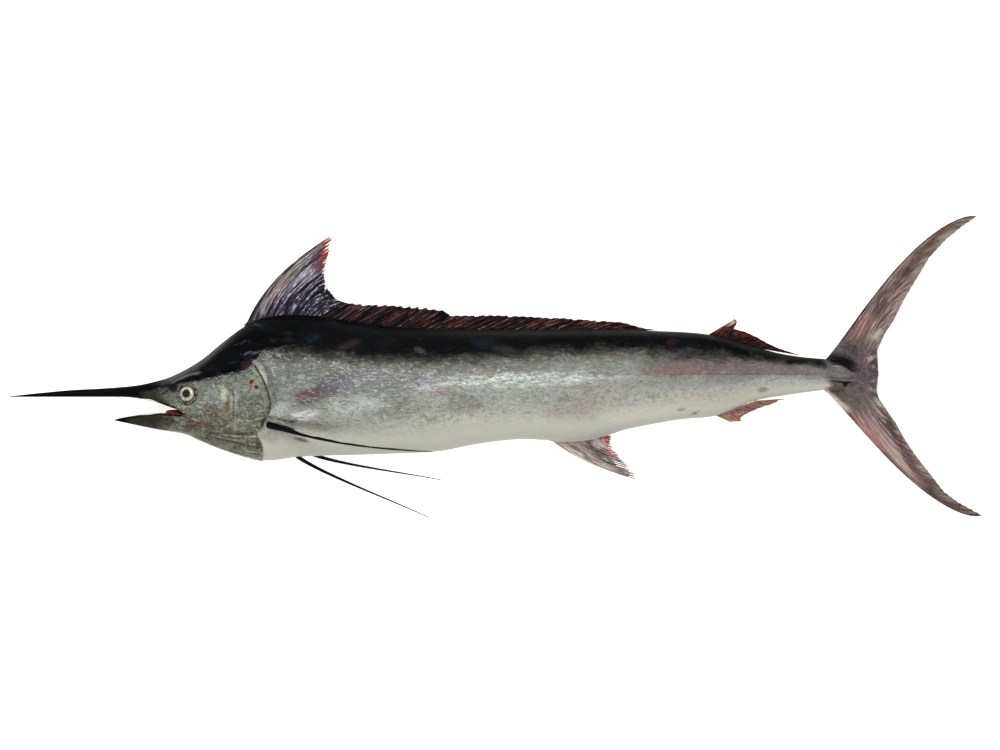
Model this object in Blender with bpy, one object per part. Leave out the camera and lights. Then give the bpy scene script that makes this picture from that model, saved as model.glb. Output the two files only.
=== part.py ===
"""A black marlin, life size, lying on its right side as a caught fish rests.

Three fish measures place everything, all in millimetres: x runs back from the bill's tip,
y runs towards the back from the bill's own line, and z runs out to the fish's left. The
fish lies with its left side up, so fish z is world Z above a middle plane whose height
over the floor changes along the body. World X is along the fish, head at -X, and world Y
points to its back. Each node is one closed solid, and neighbours keep a thin gap.
"""
import math
import random
from bisect import bisect_right

import bmesh
import bpy
from mathutils import Matrix, Vector

MM = 0.001
LENGTH = 2045.0
BACK_REACH = 380.5
BELLY_REACH = -253.7
MID_X = LENGTH / 2
MID_Y = (BACK_REACH + BELLY_REACH) / 2
GAP = 0.3

JAW_SEAM = 345.0
JAW_LEAN = 0.51
LEAN_REACH = 85.0
GILL_SEAM = 525.0
MID_SEAM = 1030.0
TAIL_SEAM = 1534.0
TAIL_END = 1800.0
WAIST = 0.47
BODY_SIDES = 32
HEAD_SIDES = 40
SHARP = math.radians(40)


def curve(*points):
    """A smooth function through (x, value) points, flat beyond the two ends."""
    xs = [point[0] for point in points]
    values = [point[1] for point in points]
    last = len(xs) - 1

    def slope(i):
        low, high = max(i - 1, 0), min(i + 1, last)
        return (values[high] - values[low]) / (xs[high] - xs[low])

    def value(x):
        x = min(max(x, xs[0]), xs[-1])
        i = min(bisect_right(xs, x), last) - 1
        step = xs[i + 1] - xs[i]
        t = (x - xs[i]) / step
        rise = values[i + 1] - values[i]
        start, end = slope(i) * step, slope(i + 1) * step
        return values[i] + t * (start + t * (3 * rise - 2 * start - end + t * (start + end - 2 * rise)))

    return value


# The profile seen from the side
BACK = curve((0, 1.5), (60, 8), (130, 14.5), (190, 17.6), (262, 23.5), (300, 31), (345, 45), (400, 76),
             (442, 110), (484, 142), (520, 161), (575, 171), (650, 168), (720, 156), (790, 147),
             (900, 141.5), (1060, 139.5), (1250, 140.5), (1360, 138.5), (1450, 134), (1535, 123),
             (1620, 97), (1680, 83), (1720, 79), (1760, 75), (TAIL_END, 66))
BELLY = curve((217, -50), (262, -59.5), (310, -69), (370, -79.5), (400, -93), (442, -110), (484, -123),
              (530, -133.5), (560, -133.5), (600, -127.5), (660, -124.5), (780, -121), (900, -115),
              (990, -98.5), (1070, -90), (1150, -92), (1210, -89), (1250, -79), (1330, -62),
              (1408, -48.5), (1482, -40.5), (1565, -9), (1640, 4), (1720, 15), (1760, 20), (TAIL_END, 30))
# Half the body's width, and how square its section is above and below the widest line
HALF_WIDTH = curve((0, 1.4), (60, 4.5), (130, 7), (217, 10.5), (262, 14), (300, 21), (345, 35), (400, 48),
                   (442, 58), (520, 71), (610, 81), (700, 84), (820, 84), (990, 79), (1152, 70),
                   (1324, 57), (1450, 44), (1576, 30), (1680, 19), (1720, 16), (1760, 11), (TAIL_END, 4))
CREST = curve((0, 2.0), (345, 2.0), (450, 1.8), (560, 1.7), (700, 1.85), (1000, 2.1), (TAIL_END, 2.1))
KEEL = 2.1
# Height of the middle plane over the floor: the flank lies flat from the gills to past mid body
LIE = curve((0, 55), (217, 58), (371, 66), (440, 68.5), (525, 70.5), (610, 78), (700, 81), (820, 81),
            (990, 76), (1152, 67), (1324, 57), (1450, 49), (1576, 41), (1702, 33), (1800, 29), (2040, 12))
# The mouth: the lips' lines, the jaw's own half width, and the hollow between its two sides
UPPER_LIP = curve((0, -0.6), (198, -0.6), (232, -0.8), (253, -1.7), (274, -4.8), (295, -8), (316, -13.2),
                  (337, -21.6), (358, -32), (380, -42))
LOWER_LIP = curve((217, -49.4), (232, -44.7), (253, -40.5), (274, -36.3), (295, -33.2), (316, -32.1),
                  (337, -34), (358, -35.5), (380, -44))
JAW_WIDTH = curve((217, 1.2), (232, 6.5), (262, 12), (300, 19.5), (345, 34))
BROW = ((345, 31), (404, 53))
BROW_RISE, BROW_SPREAD = 3.5, 9.0
LIP_PLACE = 0.7
LIP_BEAD = 1.4
INNER_RISE = {"upper": 5.0, "lower": -6.0}
JAW_STEPS = (0, 0.12, 0.24, 0.36, 0.48, 0.58, 0.65, LIP_PLACE, 0.8, 0.9, 1)

# The head's own parts
EYE_X, EYE_Y = 371.0, 7.4
EYE_SIZE = (18.5, 18.5, 8.5)
EYE_SUNK = 3.5
RIM_RADIUS, RIM_TUBE, RIM_SUNK = 17.6, 2.6, 0.3
NOSTRILS = ((324, 8), (330.5, 11.5))
NOSTRIL_SIZE = (2.4, 1.5, 3.0)
CREASE = ((362, -36.5), (372, -39), (386, -45), (400, -51.5), (416, -59), (432, -66))
CREASE_RADIUS = 1.8
TONGUE_PLACE = (346, -32.5)
TONGUE_SIZE = (22, 4.2, 20)
# Each gill cover's front and rear edges, as x for a height y
COVER_FRONT = curve((-80, 440), (-61, 452), (-47, 469), (-27, 473), (10, 468), (40, 460), (72, 452))
COVER_REAR = curve((-80, 508), (-66, 527), (-45, 540), (-36, 545), (-17, 547), (19, 541), (41, 532),
                   (72, 512))
COVER_FOOT, COVER_TOP = -80.0, 72.0
COVER_PROUD = (1.6, 3.8)
COVER_DEPTH = 6.0

# Key rays of the fins: root x and y, tip x and y, and for the left pectoral how far the tip stands out
DORSAL_LOBE = ((513, 163, 676, 339), (526, 165, 679, 331), (539, 167, 675, 314), (551, 168, 671, 296),
               (566, 169, 665, 277), (581, 169, 663, 260), (597, 169, 665, 237), (616, 169, 676, 218),
               (637, 168, 688, 204), (663, 165, 718, 195))
DORSAL_STRIP = ((668, 164, 724, 194), (690, 161, 747, 191), (719, 156, 780, 192), (810, 145, 872, 186),
                (858, 143, 918, 178), (870, 142, 927, 168), (967, 141, 1030, 169), (1097, 139, 1160, 163),
                (1232, 140, 1289, 155), (1282, 140, 1335, 143.5), (1316, 139.5, 1362, 140))
SECOND_DORSAL = ((1469, 130, 1526, 163), (1480, 128, 1530, 147), (1492, 126, 1540, 137),
                 (1510, 121, 1560, 128), (1530, 116, 1587, 115), (1550, 110, 1620, 102),
                 (1570, 103, 1662, 86.5))
FIRST_ANAL = ((1140, -91, 1318, -174.5), (1156, -90, 1314, -162), (1170, -90, 1307, -150),
              (1185, -90, 1297, -139), (1200, -89, 1280, -122), (1213, -87, 1269, -113),
              (1226, -84, 1264, -103), (1238, -81, 1262, -93), (1250, -78, 1265, -84))
SECOND_ANAL = ((1484, -39, 1514, -53), (1494, -36, 1538, -52), (1504, -33, 1536, -44),
               (1518, -28, 1550, -36), (1535, -22, 1575, -25), (1552, -16, 1600, -17),
               (1572, -9, 1632, -4))
TAIL_UPPER = ((1716, 77, 2034, 379), (1735, 75, 2004, 359), (1750, 73, 1967, 329), (1762, 71, 1933, 292),
              (1771, 68, 1907, 249), (1778, 65, 1878, 201), (1783, 62, 1859, 162), (1787, 58, 1839, 132),
              (1789, 54, 1823, 97), (1790, 48, 1826, 48))
TAIL_LOWER = ((1706, 15, 2045, -249), (1728, 18, 1995, -222), (1745, 21, 1964, -199), (1758, 23, 1936, -163),
              (1769, 26, 1908, -128), (1777, 29, 1880, -87), (1783, 33, 1852, -55), (1787, 37, 1829, -11),
              (1789, 41, 1822, 10), (1790, 47.6, 1826, 47.6))
PECTORAL_KEYS = ((545, -52, 888, -114.7, 76), (553, -54, 862, -113, 66), (562, -56, 820, -110, 54),
                 (571, -58, 765, -105, 42), (580, -60, 705, -96, 30), (588, -61, 650, -82, 20))
PECTORAL_SAG = 0.035
FOLDED_KEYS = ((545, -62, 886, -109), (553, -60, 862, -102), (562, -58, 820, -93),
               (571, -56, 765, -83), (580, -54, 705, -74), (588, -52, 650, -66))
FOLDED_HEIGHT = 5.5
PELVIC_LEFT = ((592, -118, 881, -253.7), (600, -119, 876, -250), (608, -120, 868, -246))
PELVIC_RIGHT = ((636, -117, 906, -175), (645, -117, 900, -172), (654, -117, 890, -168.5))
PELVIC_ROLL, PELVIC_DROOP = 7.0, 12.0
# How thick a fin's web is beside its rays, and at least, as half thicknesses
WEB_SHARE, WEB_LEAST = 0.5, 0.35
# The short ridges on each side of the tail's root, and their half sizes
KEEL_PLACES = (("upper", 1752, 63), ("lower", 1748, 32))
KEEL_SIZE = (28, 4, 12)


def placed(x, y, z):
    """The world place of a fish measure."""
    return Vector(((x - MID_X) * MM, (y - MID_Y) * MM, max(LIE(x) + z, 0) * MM))


def smooth(low, high, x):
    t = min(max((x - low) / (high - low), 0), 1)
    return t * t * (3 - 2 * t)


def mix(a, b, share):
    return tuple(p + (q - p) * share for p, q in zip(a, b))


def oval(top, bottom, width, angle, crest=2.0, keel=KEEL):
    """The point of an upright oval at an angle from its top, 0, round one side to its foot, pi."""
    middle = bottom + WAIST * (top - bottom)
    reach, square = (top - middle, crest) if angle < math.pi / 2 else (middle - bottom, keel)
    across = abs(math.cos(angle)) ** (2 / square)
    y = middle + math.copysign(across, math.cos(angle)) * reach
    return y, width * abs(math.sin(angle)) ** (2 / square)


def relief(x, y):
    """How far the brow's ridge and the hollow below it lift or sink the side of the head."""
    (x0, y0), (x1, y1) = BROW
    along = ((x - x0) * (x1 - x0) + (y - y0) * (y1 - y0)) / ((x1 - x0) ** 2 + (y1 - y0) ** 2)
    along = min(max(along, 0), 1)
    near_x, near_y = mix(BROW[0], BROW[1], along)
    away = math.hypot(x - near_x, y - near_y)
    return BROW_RISE * math.exp(-((away / BROW_SPREAD) ** 2))


def body(x, angle):
    """The whole body's section at x, as y and z."""
    y, z = oval(BACK(x), BELLY(x), HALF_WIDTH(x), angle, CREST(x))
    return y, z + relief(x, y) * math.sin(angle)


def body_angle(x, y):
    """The angle at which the body's section reaches height y."""
    top, bottom = BACK(x), BELLY(x)
    middle = bottom + WAIST * (top - bottom)
    if y > middle:
        return math.acos(min((y - middle) / (top - middle), 1) ** (CREST(x) / 2))
    return math.pi - math.acos(min((middle - y) / (middle - bottom), 1) ** (KEEL / 2))


def flank(x, y):
    """How far the left flank stands out at x and y."""
    return body(x, body_angle(x, y))[1]


def jaw(which, x, u):
    """A jaw from its outer ridge, 0, round its side to the lip and in to its hollow's middle, 1.

    Far forward each jaw is a rod of its own. Near the seam its side is part of the head's.
    """
    if which == "upper":
        lip = UPPER_LIP(x)
        own = oval(BACK(x), lip, HALF_WIDTH(x), math.pi * u)
        side = body_angle(x, lip) * u / LIP_PLACE
    else:
        lip = LOWER_LIP(x)
        own = oval(lip, BELLY(x), JAW_WIDTH(x), math.pi * (1 - u))
        side = math.pi - (math.pi - body_angle(x, lip)) * u / LIP_PLACE
    if u <= LIP_PLACE:
        whole = body(x, side)
    else:
        inward = (u - LIP_PLACE) / (1 - LIP_PLACE)
        rise = INNER_RISE[which] * math.sin(inward * math.pi / 2)
        whole = (lip + rise, flank(x, lip) * (1 - inward))
    joined = smooth(250, JAW_SEAM - 10, x)
    bead = LIP_BEAD * joined * (1 - joined / 2) * math.exp(-((u - LIP_PLACE) / 0.05) ** 2)
    y, z = mix(own, whole, joined)
    return y, z + bead


def upper_jaw(x, u):
    return jaw("upper", x, u)


def lower_jaw(x, u):
    return jaw("lower", x, u)


def leaning(start, shape, step):
    """One point of a ring that leans back with the jaw's seam as it nears it."""
    lean = JAW_LEAN * max(1 - abs(start - JAW_SEAM) / LEAN_REACH, 0)
    x = start
    for _ in range(14):
        y, z = shape(x, step)
        x = start - lean * y
    return x, y, z


def ring(start, shape, steps):
    """A closed ring of world points: one half from its steps, and its mirror image."""
    half = [leaning(start, shape, step) for step in steps]
    mirrored = [(x, y, -z) for x, y, z in half[-2:0:-1]]
    return [placed(*point) for point in half + mirrored]


# Meshes

def new_object(name, bm, colour, roughness):
    """Turn a closed bmesh the right way out and make it a node with its own material."""
    bmesh.ops.recalc_face_normals(bm, faces=bm.faces)
    if bm.calc_volume(signed=True) < 0:
        bmesh.ops.reverse_faces(bm, faces=bm.faces)
    mesh = bpy.data.meshes.new(name)
    bm.to_mesh(mesh)
    bm.free()
    made = bpy.data.objects.new(name, mesh)
    fish.objects.link(made)
    material = bpy.data.materials.new(name)
    material.use_nodes = True
    shader = material.node_tree.nodes["Principled BSDF"]
    shader.inputs["Base Color"].default_value = (*colour, 1)
    shader.inputs["Roughness"].default_value = roughness
    mesh.materials.append(material)
    return made


def skin_rings(bm, rings):
    """Join rings of equal length with quads and close both ends."""
    rows = [[bm.verts.new(point) for point in points] for points in rings]
    for first, second in zip(rows, rows[1:]):
        for i, corner in enumerate(first):
            j = (i + 1) % len(first)
            bm.faces.new((corner, first[j], second[j], second[i]))
    bm.faces.new(rows[0])
    bm.faces.new(rows[-1])


def loft(name, starts, shape, steps, colour, roughness=0.35):
    bm = bmesh.new()
    skin_rings(bm, [ring(start, shape, steps) for start in starts])
    made = new_object(name, bm, colour, roughness)
    made.data.shade_smooth()
    made.data.set_sharp_from_angle(angle=SHARP)
    return made


def even(low, high, count):
    return [low + (high - low) * i / count for i in range(count + 1)]


def swollen(source, by):
    """A cutter: the source's mesh with every face moved out by the gap."""
    bm = bmesh.new()
    bm.from_mesh(source.data)
    bm.normal_update()
    moves = [vert.normal * by * MM * vert.calc_shell_factor() for vert in bm.verts]
    for vert, move in zip(bm.verts, moves):
        vert.co += move
    mesh = bpy.data.meshes.new("cutter")
    bm.to_mesh(mesh)
    bm.free()
    cutter = bpy.data.objects.new("cutter", mesh)
    cutters.objects.link(cutter)
    return cutter


def keep_largest(mesh):
    """Drop every loose scrap that a cut leaves beside the main piece."""
    bm = bmesh.new()
    bm.from_mesh(mesh)
    left = set(bm.faces)
    pieces = []
    while left:
        piece, edge_of = [], [left.pop()]
        while edge_of:
            face = edge_of.pop()
            piece.append(face)
            near = {other for edge in face.edges for other in edge.link_faces} & left
            left -= near
            edge_of.extend(near)
        pieces.append(piece)
    pieces.sort(key=lambda piece: sum(face.calc_area() for face in piece))
    scraps = [face for piece in pieces[:-1] for face in piece]
    bmesh.ops.delete(bm, geom=scraps, context="FACES")
    bm.to_mesh(mesh)
    bm.free()


def combine(target, tool, operation):
    """Cut the tool from the target, or join it to it, and remove the tool."""
    boolean = target.modifiers.new("combine", "BOOLEAN")
    boolean.operation = operation
    boolean.solver = "EXACT"
    boolean.object = tool
    view = bpy.context.evaluated_depsgraph_get()
    result = bpy.data.meshes.new_from_object(target.evaluated_get(view))
    target.modifiers.remove(boolean)
    target.data = result
    bpy.data.objects.remove(tool)
    keep_largest(target.data)


def seat(piece, *carriers):
    """Cut a piece back to a thin gap from each solid that carries it."""
    for carrier in carriers:
        combine(piece, swollen(carrier, GAP), "DIFFERENCE")


# The flesh

def make_flesh():
    """Bill, lower jaw, head, trunk, hind body and tail stock, parted by thin straight cuts."""
    half_gap = GAP / 2
    body_steps = [math.pi * i / (BODY_SIDES // 2) for i in range(BODY_SIDES // 2 + 1)]
    head_steps = [math.pi * i / (HEAD_SIDES // 2) for i in range(HEAD_SIDES // 2 + 1)]
    bill_starts = (0, 6, 40, 90, 145, 200, 235, 262, 280, 298, 315, 330, JAW_SEAM - half_gap)
    jaw_starts = (217.5, 224, 236, 252, 272, 292, 312, 330, JAW_SEAM - half_gap)
    head_starts = [JAW_SEAM + half_gap] + even(354, 435, 9) + even(448, GILL_SEAM - half_gap, 6)
    return {
        "bill": loft("bill", bill_starts, upper_jaw, JAW_STEPS, (0.05, 0.05, 0.06)),
        "lower_jaw": loft("lower_jaw", jaw_starts, lower_jaw, JAW_STEPS, (0.12, 0.10, 0.09)),
        "head": loft("head", head_starts, body, head_steps, (0.30, 0.29, 0.27)),
        "trunk": loft("trunk", even(GILL_SEAM + half_gap, MID_SEAM - half_gap, 14), body, body_steps,
                      (0.36, 0.37, 0.36)),
        "hind_body": loft("hind_body", even(MID_SEAM + half_gap, TAIL_SEAM - half_gap, 13), body, body_steps,
                          (0.34, 0.36, 0.35)),
        "tail_stock": loft("tail_stock", even(TAIL_SEAM + half_gap, TAIL_END, 10), body, body_steps,
                           (0.12, 0.13, 0.15)),
    }


# Fins


def between(keys, v):
    """The ray a share v of the way through a fin's key rays, so that rays are evenly spread."""
    steps = [sum((b - a).length for a, b in zip(*pair)) for pair in zip(keys, keys[1:])]
    place = v * sum(steps)
    i = 0
    while i < len(steps) - 1 and place > steps[i]:
        place -= steps[i]
        i += 1
    return [a.lerp(b, place / steps[i]) for a, b in zip(keys[i], keys[i + 1])]


def swing(t, crest):
    """A bend that is 0 at both ends and 1 where t is crest."""
    if not 0 < t < 1:
        return 0.0
    return (t / crest) ** (2 * crest) * ((1 - t) / (1 - crest)) ** (2 - 2 * crest)


def fan(name, keys, rays, thick, colour, *, normal=(0, 0, 1), bow=(0.0, 0.5), arch=0.0, sink=9.0,
        rows=5, crowd=1.0, notch=0.05, ragged=0.0):
    """A fin: a tapered plate whose rays are ridges raised in both of its faces.

    keys are (root, tip) pairs in world places, front ray first. bow bends the rays within
    the fin, most at its second value, and arch bends them out of it, each by a share of the
    ray's length. thick is half a ray's thickness at the root and at the tip, in millimetres.
    The web between two rays is thinner and ends a notch short of them, as a share of the
    length, and ragged fins lose up to that share more at each ray, at random. crowd above 1
    sets the rows closer together towards the tips.
    """
    normal = Vector(normal)
    wear = random.Random(name)
    bm = bmesh.new()
    sheets = ([], [])
    columns = 2 * rays - 1
    for i in range(columns):
        root, tip = between(keys, i / (columns - 1))
        along = tip - root
        aside = normal.cross(along)
        is_web = i % 2 == 1
        end = 1 - notch - ragged * wear.random() if is_web else 1 - ragged * wear.random() / 2
        column = []
        for j in range(-1, rows + 1):
            t = end * (1 - (1 - j / rows) ** crowd) if j >= 0 else -sink * MM / along.length
            middle = root + along * t + aside * bow[0] * swing(t, bow[1])
            middle += normal * arch * along.length * swing(t, 0.5)
            half = thick[0] + (thick[1] - thick[0]) * max(t, 0)
            half = max(half * WEB_SHARE, WEB_LEAST) if is_web else half
            column.append((middle + normal * half * MM, middle - normal * half * MM))
        for sheet, side in zip(sheets, (0, 1)):
            sheet.append([bm.verts.new(pair[side]) for pair in column])
    close_sheets(bm, *sheets)
    return new_object(name, bm, colour, 0.45)


def close_sheets(bm, upper, lower):
    """Triangles on two like grids, split alike, and quads round their common rim."""
    for grid in (upper, lower):
        for first, second in zip(grid, grid[1:]):
            for j in range(len(first) - 1):
                bm.faces.new((first[j], first[j + 1], second[j + 1]))
                bm.faces.new((first[j], second[j + 1], second[j]))
    rims = []
    for grid in (upper, lower):
        tips = [column[-1] for column in grid]
        roots = [column[0] for column in grid]
        rims.append(grid[0][:-1] + tips[:-1] + grid[-1][:0:-1] + roots[:0:-1])
    for i, corner in enumerate(rims[0]):
        j = (i + 1) % len(rims[0])
        bm.faces.new((corner, rims[0][j], rims[1][j]))
        bm.faces.new((corner, rims[1][j], rims[1][i]))


def level(*rays, droop=0.0):
    """Key rays in the fish's middle plane, whose tips droop towards the floor."""
    return [(placed(rx, ry, 0), placed(tx, ty, -droop)) for rx, ry, tx, ty in rays]


def make_median_fins(flesh):
    dark, red, slate = (0.10, 0.08, 0.12), (0.42, 0.18, 0.16), (0.14, 0.12, 0.15)
    lobe = fan("first_dorsal_lobe", level(*DORSAL_LOBE, droop=10), 13, (3.5, 1.0), dark, bow=(0.09, 0.42),
               ragged=0.05)
    strip = fan("first_dorsal_strip", level(*DORSAL_STRIP, droop=3), 25, (3.0, 0.9), dark, rows=3,
                notch=0.12, ragged=0.12)
    second = fan("second_dorsal_fin", level(*SECOND_DORSAL), 7, (2.2, 0.7), red, rows=4, ragged=0.06)
    anal = fan("first_anal_fin", level(*FIRST_ANAL, droop=10), 13, (3.5, 1.0), (0.55, 0.53, 0.5),
               bow=(-0.05, 0.45), ragged=0.05)
    hind_anal = fan("second_anal_fin", level(*SECOND_ANAL), 7, (2.2, 0.7), red, rows=4, ragged=0.06)
    seat(lobe, flesh["head"], flesh["trunk"])
    seat(strip, flesh["trunk"], flesh["hind_body"], lobe)
    for fin in (second, hind_anal):
        seat(fin, flesh["hind_body"], flesh["tail_stock"])
    seat(anal, flesh["hind_body"])
    upper = fan("tail_fin_upper", level(*TAIL_UPPER), 16, (4.5, 1.2), slate, bow=(0.092, 0.67), sink=1,
                rows=8, crowd=1.6, notch=0.01, ragged=0.01)
    lower = fan("tail_fin_lower", level(*TAIL_LOWER), 16, (4.5, 1.2), slate, bow=(-0.088, 0.68), sink=1,
                rows=8, crowd=1.6, notch=0.01, ragged=0.012)
    for tail in (upper, lower):
        seat(tail, flesh["tail_stock"])


# Paired fins


def make_pectorals(flesh):
    """The left one stands off the flank, stiff and edge on; the right one is folded under."""
    black = (0.03, 0.03, 0.035)
    left = []
    for rx, ry, tx, ty, out in PECTORAL_KEYS:
        root_out = flank(rx, ry)
        root = placed(rx, ry, root_out)
        tip = root + Vector((tx - rx, ty - ry, out)) * MM
        left.append((root, tip))
    stiff = fan("pectoral_fin_left", left, 11, (5.0, 1.0), black, normal=(0, 1, 0), bow=(-0.10, 0.4),
                arch=-PECTORAL_SAG, rows=7, notch=0.015)
    seat(stiff, flesh["trunk"])
    right = []
    for rx, ry, tx, ty in FOLDED_KEYS:
        ends = [placed(x, y, FOLDED_HEIGHT - LIE(x)) for x, y in ((rx, ry), (tx, ty))]
        right.append(tuple(ends))
    folded = fan("pectoral_fin_right", right, 11, (3.0, 1.0), black, bow=(-0.03, 0.5), rows=7, sink=4,
                 notch=0.015)
    seat(folded, flesh["trunk"], flesh["head"])


def make_pelvics(flesh):
    for name, rays, side in (("pelvic_fin_left", PELVIC_LEFT, 1), ("pelvic_fin_right", PELVIC_RIGHT, -1)):
        roll = PELVIC_ROLL * side
        keys = [(placed(rx, ry, roll), placed(tx, ty, 2.5 * roll - PELVIC_DROOP)) for rx, ry, tx, ty in rays]
        fin = fan(name, keys, 3, (4.5, 1.0), (0.03, 0.03, 0.035), arch=0.01, sink=14, rows=7, notch=0.04)
        seat(fin, flesh["trunk"])


def make_keels(flesh):
    """Two short ridges on each side of the tail's root."""
    for place, x, y in KEEL_PLACES:
        for side, out in (("left", 1), ("right", -1)):
            centre = Matrix.Translation(placed(x, y, out * flank(x, y) * 0.9))
            keel = new_object(f"tail_keel_{place}_{side}", blob(centre, KEEL_SIZE, (12, 8)),
                              (0.14, 0.14, 0.17), 0.4)
            seat(keel, flesh["tail_stock"])


# The head's own parts


def flank_frame(x, y, side, sunk=0.0):
    """A frame on the flank: its third axis points straight out of the skin."""
    here = placed(x, y, flank(x, y) * side)
    back = placed(x + 6, y, flank(x + 6, y) * side) - here
    up = placed(x, y + 6, flank(x, y + 6) * side) - here
    out = back.cross(up).normalized()
    if out.z * side < 0:
        out = -out
    back = back.normalized()
    up = out.cross(back).normalized()
    frame = Matrix((back, up, out)).transposed().to_4x4()
    frame.translation = here - out * sunk * MM
    return frame


def blob(frame, size, segments=(20, 10)):
    """A ball stretched to three half sizes in its own frame."""
    bm = bmesh.new()
    bmesh.ops.create_uvsphere(bm, u_segments=segments[0], v_segments=segments[1], radius=1)
    stretch = Matrix.Diagonal((*[part * MM for part in size], 1))
    bmesh.ops.transform(bm, matrix=frame @ stretch, verts=bm.verts)
    return bm


def make_eyes(flesh):
    """Each eye is a flat ball in its socket, inside a raised rim that is part of the head."""
    for side, name in ((1, "eye_left"), (-1, "eye_right")):
        frame = flank_frame(EYE_X, EYE_Y, side, EYE_SUNK)
        bpy.ops.mesh.primitive_torus_add(major_radius=RIM_RADIUS * MM, minor_radius=RIM_TUBE * MM,
                                         major_segments=24, minor_segments=8)
        rim = bpy.context.object
        rim.matrix_world = flank_frame(EYE_X, EYE_Y, side, RIM_SUNK)
        combine(flesh["head"], rim, "UNION")
        eye = new_object(name, blob(frame, EYE_SIZE), (0.55, 0.52, 0.42), 0.08)
        combine(flesh["head"], swollen(eye, GAP), "DIFFERENCE")


def make_nostrils(flesh):
    for side in (1, -1):
        for x, y in NOSTRILS:
            pit = new_object("pit", blob(flank_frame(x, y, side), NOSTRIL_SIZE, (10, 6)), (0, 0, 0), 0.5)
            combine(flesh["bill"], pit, "DIFFERENCE")


def make_mouth_crease(flesh):
    """A groove that carries the line of the mouth on across each cheek."""
    for side in (1, -1):
        path = bpy.data.curves.new("crease", "CURVE")
        path.dimensions = "3D"
        path.bevel_depth = CREASE_RADIUS * MM
        path.bevel_resolution = 1
        path.use_fill_caps = True
        line = path.splines.new("POLY")
        line.points.add(len(CREASE) - 1)
        for point, (x, y) in zip(line.points, CREASE):
            point.co = (*flank_frame(x, y, side).translation, 1)
        guide = bpy.data.objects.new("crease", path)
        cutters.objects.link(guide)
        view = bpy.context.evaluated_depsgraph_get()
        mesh = bpy.data.meshes.new_from_object(guide.evaluated_get(view))
        bpy.data.objects.remove(guide)
        bm = bmesh.new()
        bm.from_mesh(mesh)
        bmesh.ops.remove_doubles(bm, verts=bm.verts, dist=0.01 * MM)
        combine(flesh["head"], new_object("crease", bm, (0, 0, 0), 0.5), "DIFFERENCE")


def make_tongue(flesh):
    x, y = TONGUE_PLACE
    frame = Matrix.Translation(placed(x, y, 0))
    tongue = new_object("tongue", blob(frame, TONGUE_SIZE, (16, 8)), (0.45, 0.06, 0.05), 0.25)
    seat(tongue, flesh["lower_jaw"], flesh["bill"], flesh["head"])


def make_gill_covers(flesh):
    """A thin plate over each cheek whose rear edge stands proud of the shoulder."""
    columns, rows = 6, 12
    for side, name in ((1, "gill_cover_left"), (-1, "gill_cover_right")):
        bm = bmesh.new()
        sheets = ([], [])
        for i in range(columns + 1):
            column = []
            for j in range(rows + 1):
                y = COVER_FOOT + (COVER_TOP - COVER_FOOT) * j / rows
                x = COVER_FRONT(y) + (COVER_REAR(y) - COVER_FRONT(y)) * i / columns
                rise = smooth(0, 1, i / columns)
                rim = min(1, 3 * min(j, rows - j) / rows + 0.6)
                proud = (COVER_PROUD[0] + (COVER_PROUD[1] - COVER_PROUD[0]) * rise) * rim
                out = flank(x, y)
                column.append((placed(x, y, side * (out + proud)), placed(x, y, side * (out - COVER_DEPTH))))
            for sheet, layer in zip(sheets, (0, 1)):
                sheet.append([bm.verts.new(pair[layer]) for pair in column])
        close_sheets(bm, *sheets)
        cover = new_object(name, bm, (0.34, 0.33, 0.30), 0.35)
        seat(cover, flesh["head"], flesh["trunk"])


for old in list(bpy.data.objects):
    bpy.data.objects.remove(old)
fish = bpy.data.collections.new("black_marlin")
cutters = bpy.data.collections.new("cutters")
for collection in (fish, cutters):
    bpy.context.scene.collection.children.link(collection)

flesh = make_flesh()
make_eyes(flesh)
make_nostrils(flesh)
make_mouth_crease(flesh)
make_tongue(flesh)
make_median_fins(flesh)
make_pectorals(flesh)
make_pelvics(flesh)
make_keels(flesh)
make_gill_covers(flesh)
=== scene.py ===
# %% [markdown]
# A black marlin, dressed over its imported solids.
#
# The fish lies on its right side as a caught fish rests: left flank up, head at -X, back at +Y. The solids
# give every size and place. This notebook makes the wet skin with its markings, the scales, eyes, teeth and
# fins that lie over them, one step to a cell. Each step says what the real thing is, how it could be made,
# and why it is made the way it is.

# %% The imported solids
import math
import random

import bmesh
import bpy
import numpy as np
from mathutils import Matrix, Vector

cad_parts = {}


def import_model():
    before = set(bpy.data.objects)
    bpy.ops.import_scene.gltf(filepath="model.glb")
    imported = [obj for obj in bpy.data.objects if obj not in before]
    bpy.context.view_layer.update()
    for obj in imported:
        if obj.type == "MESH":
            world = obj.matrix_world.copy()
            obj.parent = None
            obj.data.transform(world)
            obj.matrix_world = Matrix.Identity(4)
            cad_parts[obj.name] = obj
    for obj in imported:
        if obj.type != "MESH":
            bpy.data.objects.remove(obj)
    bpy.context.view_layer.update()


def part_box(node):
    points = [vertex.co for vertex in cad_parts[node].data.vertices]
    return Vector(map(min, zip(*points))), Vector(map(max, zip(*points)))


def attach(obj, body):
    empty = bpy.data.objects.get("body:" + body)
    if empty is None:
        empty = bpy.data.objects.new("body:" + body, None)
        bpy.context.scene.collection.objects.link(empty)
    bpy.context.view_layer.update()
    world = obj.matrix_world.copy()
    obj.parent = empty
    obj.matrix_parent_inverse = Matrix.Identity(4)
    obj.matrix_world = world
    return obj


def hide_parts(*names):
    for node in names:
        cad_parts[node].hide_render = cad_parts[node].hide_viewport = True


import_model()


def in_scene(name, data):
    """A new object in the scene, at the origin."""
    piece = bpy.data.objects.new(name, data)
    bpy.context.scene.collection.objects.link(piece)
    return piece


def vectors(mesh, name="co"):
    """A vector of each of a mesh's points, as rows: its place, or its normal."""
    flat = np.empty(len(mesh.vertices) * 3)
    mesh.vertices.foreach_get(name, flat)
    return flat.reshape(-1, 3)


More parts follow.
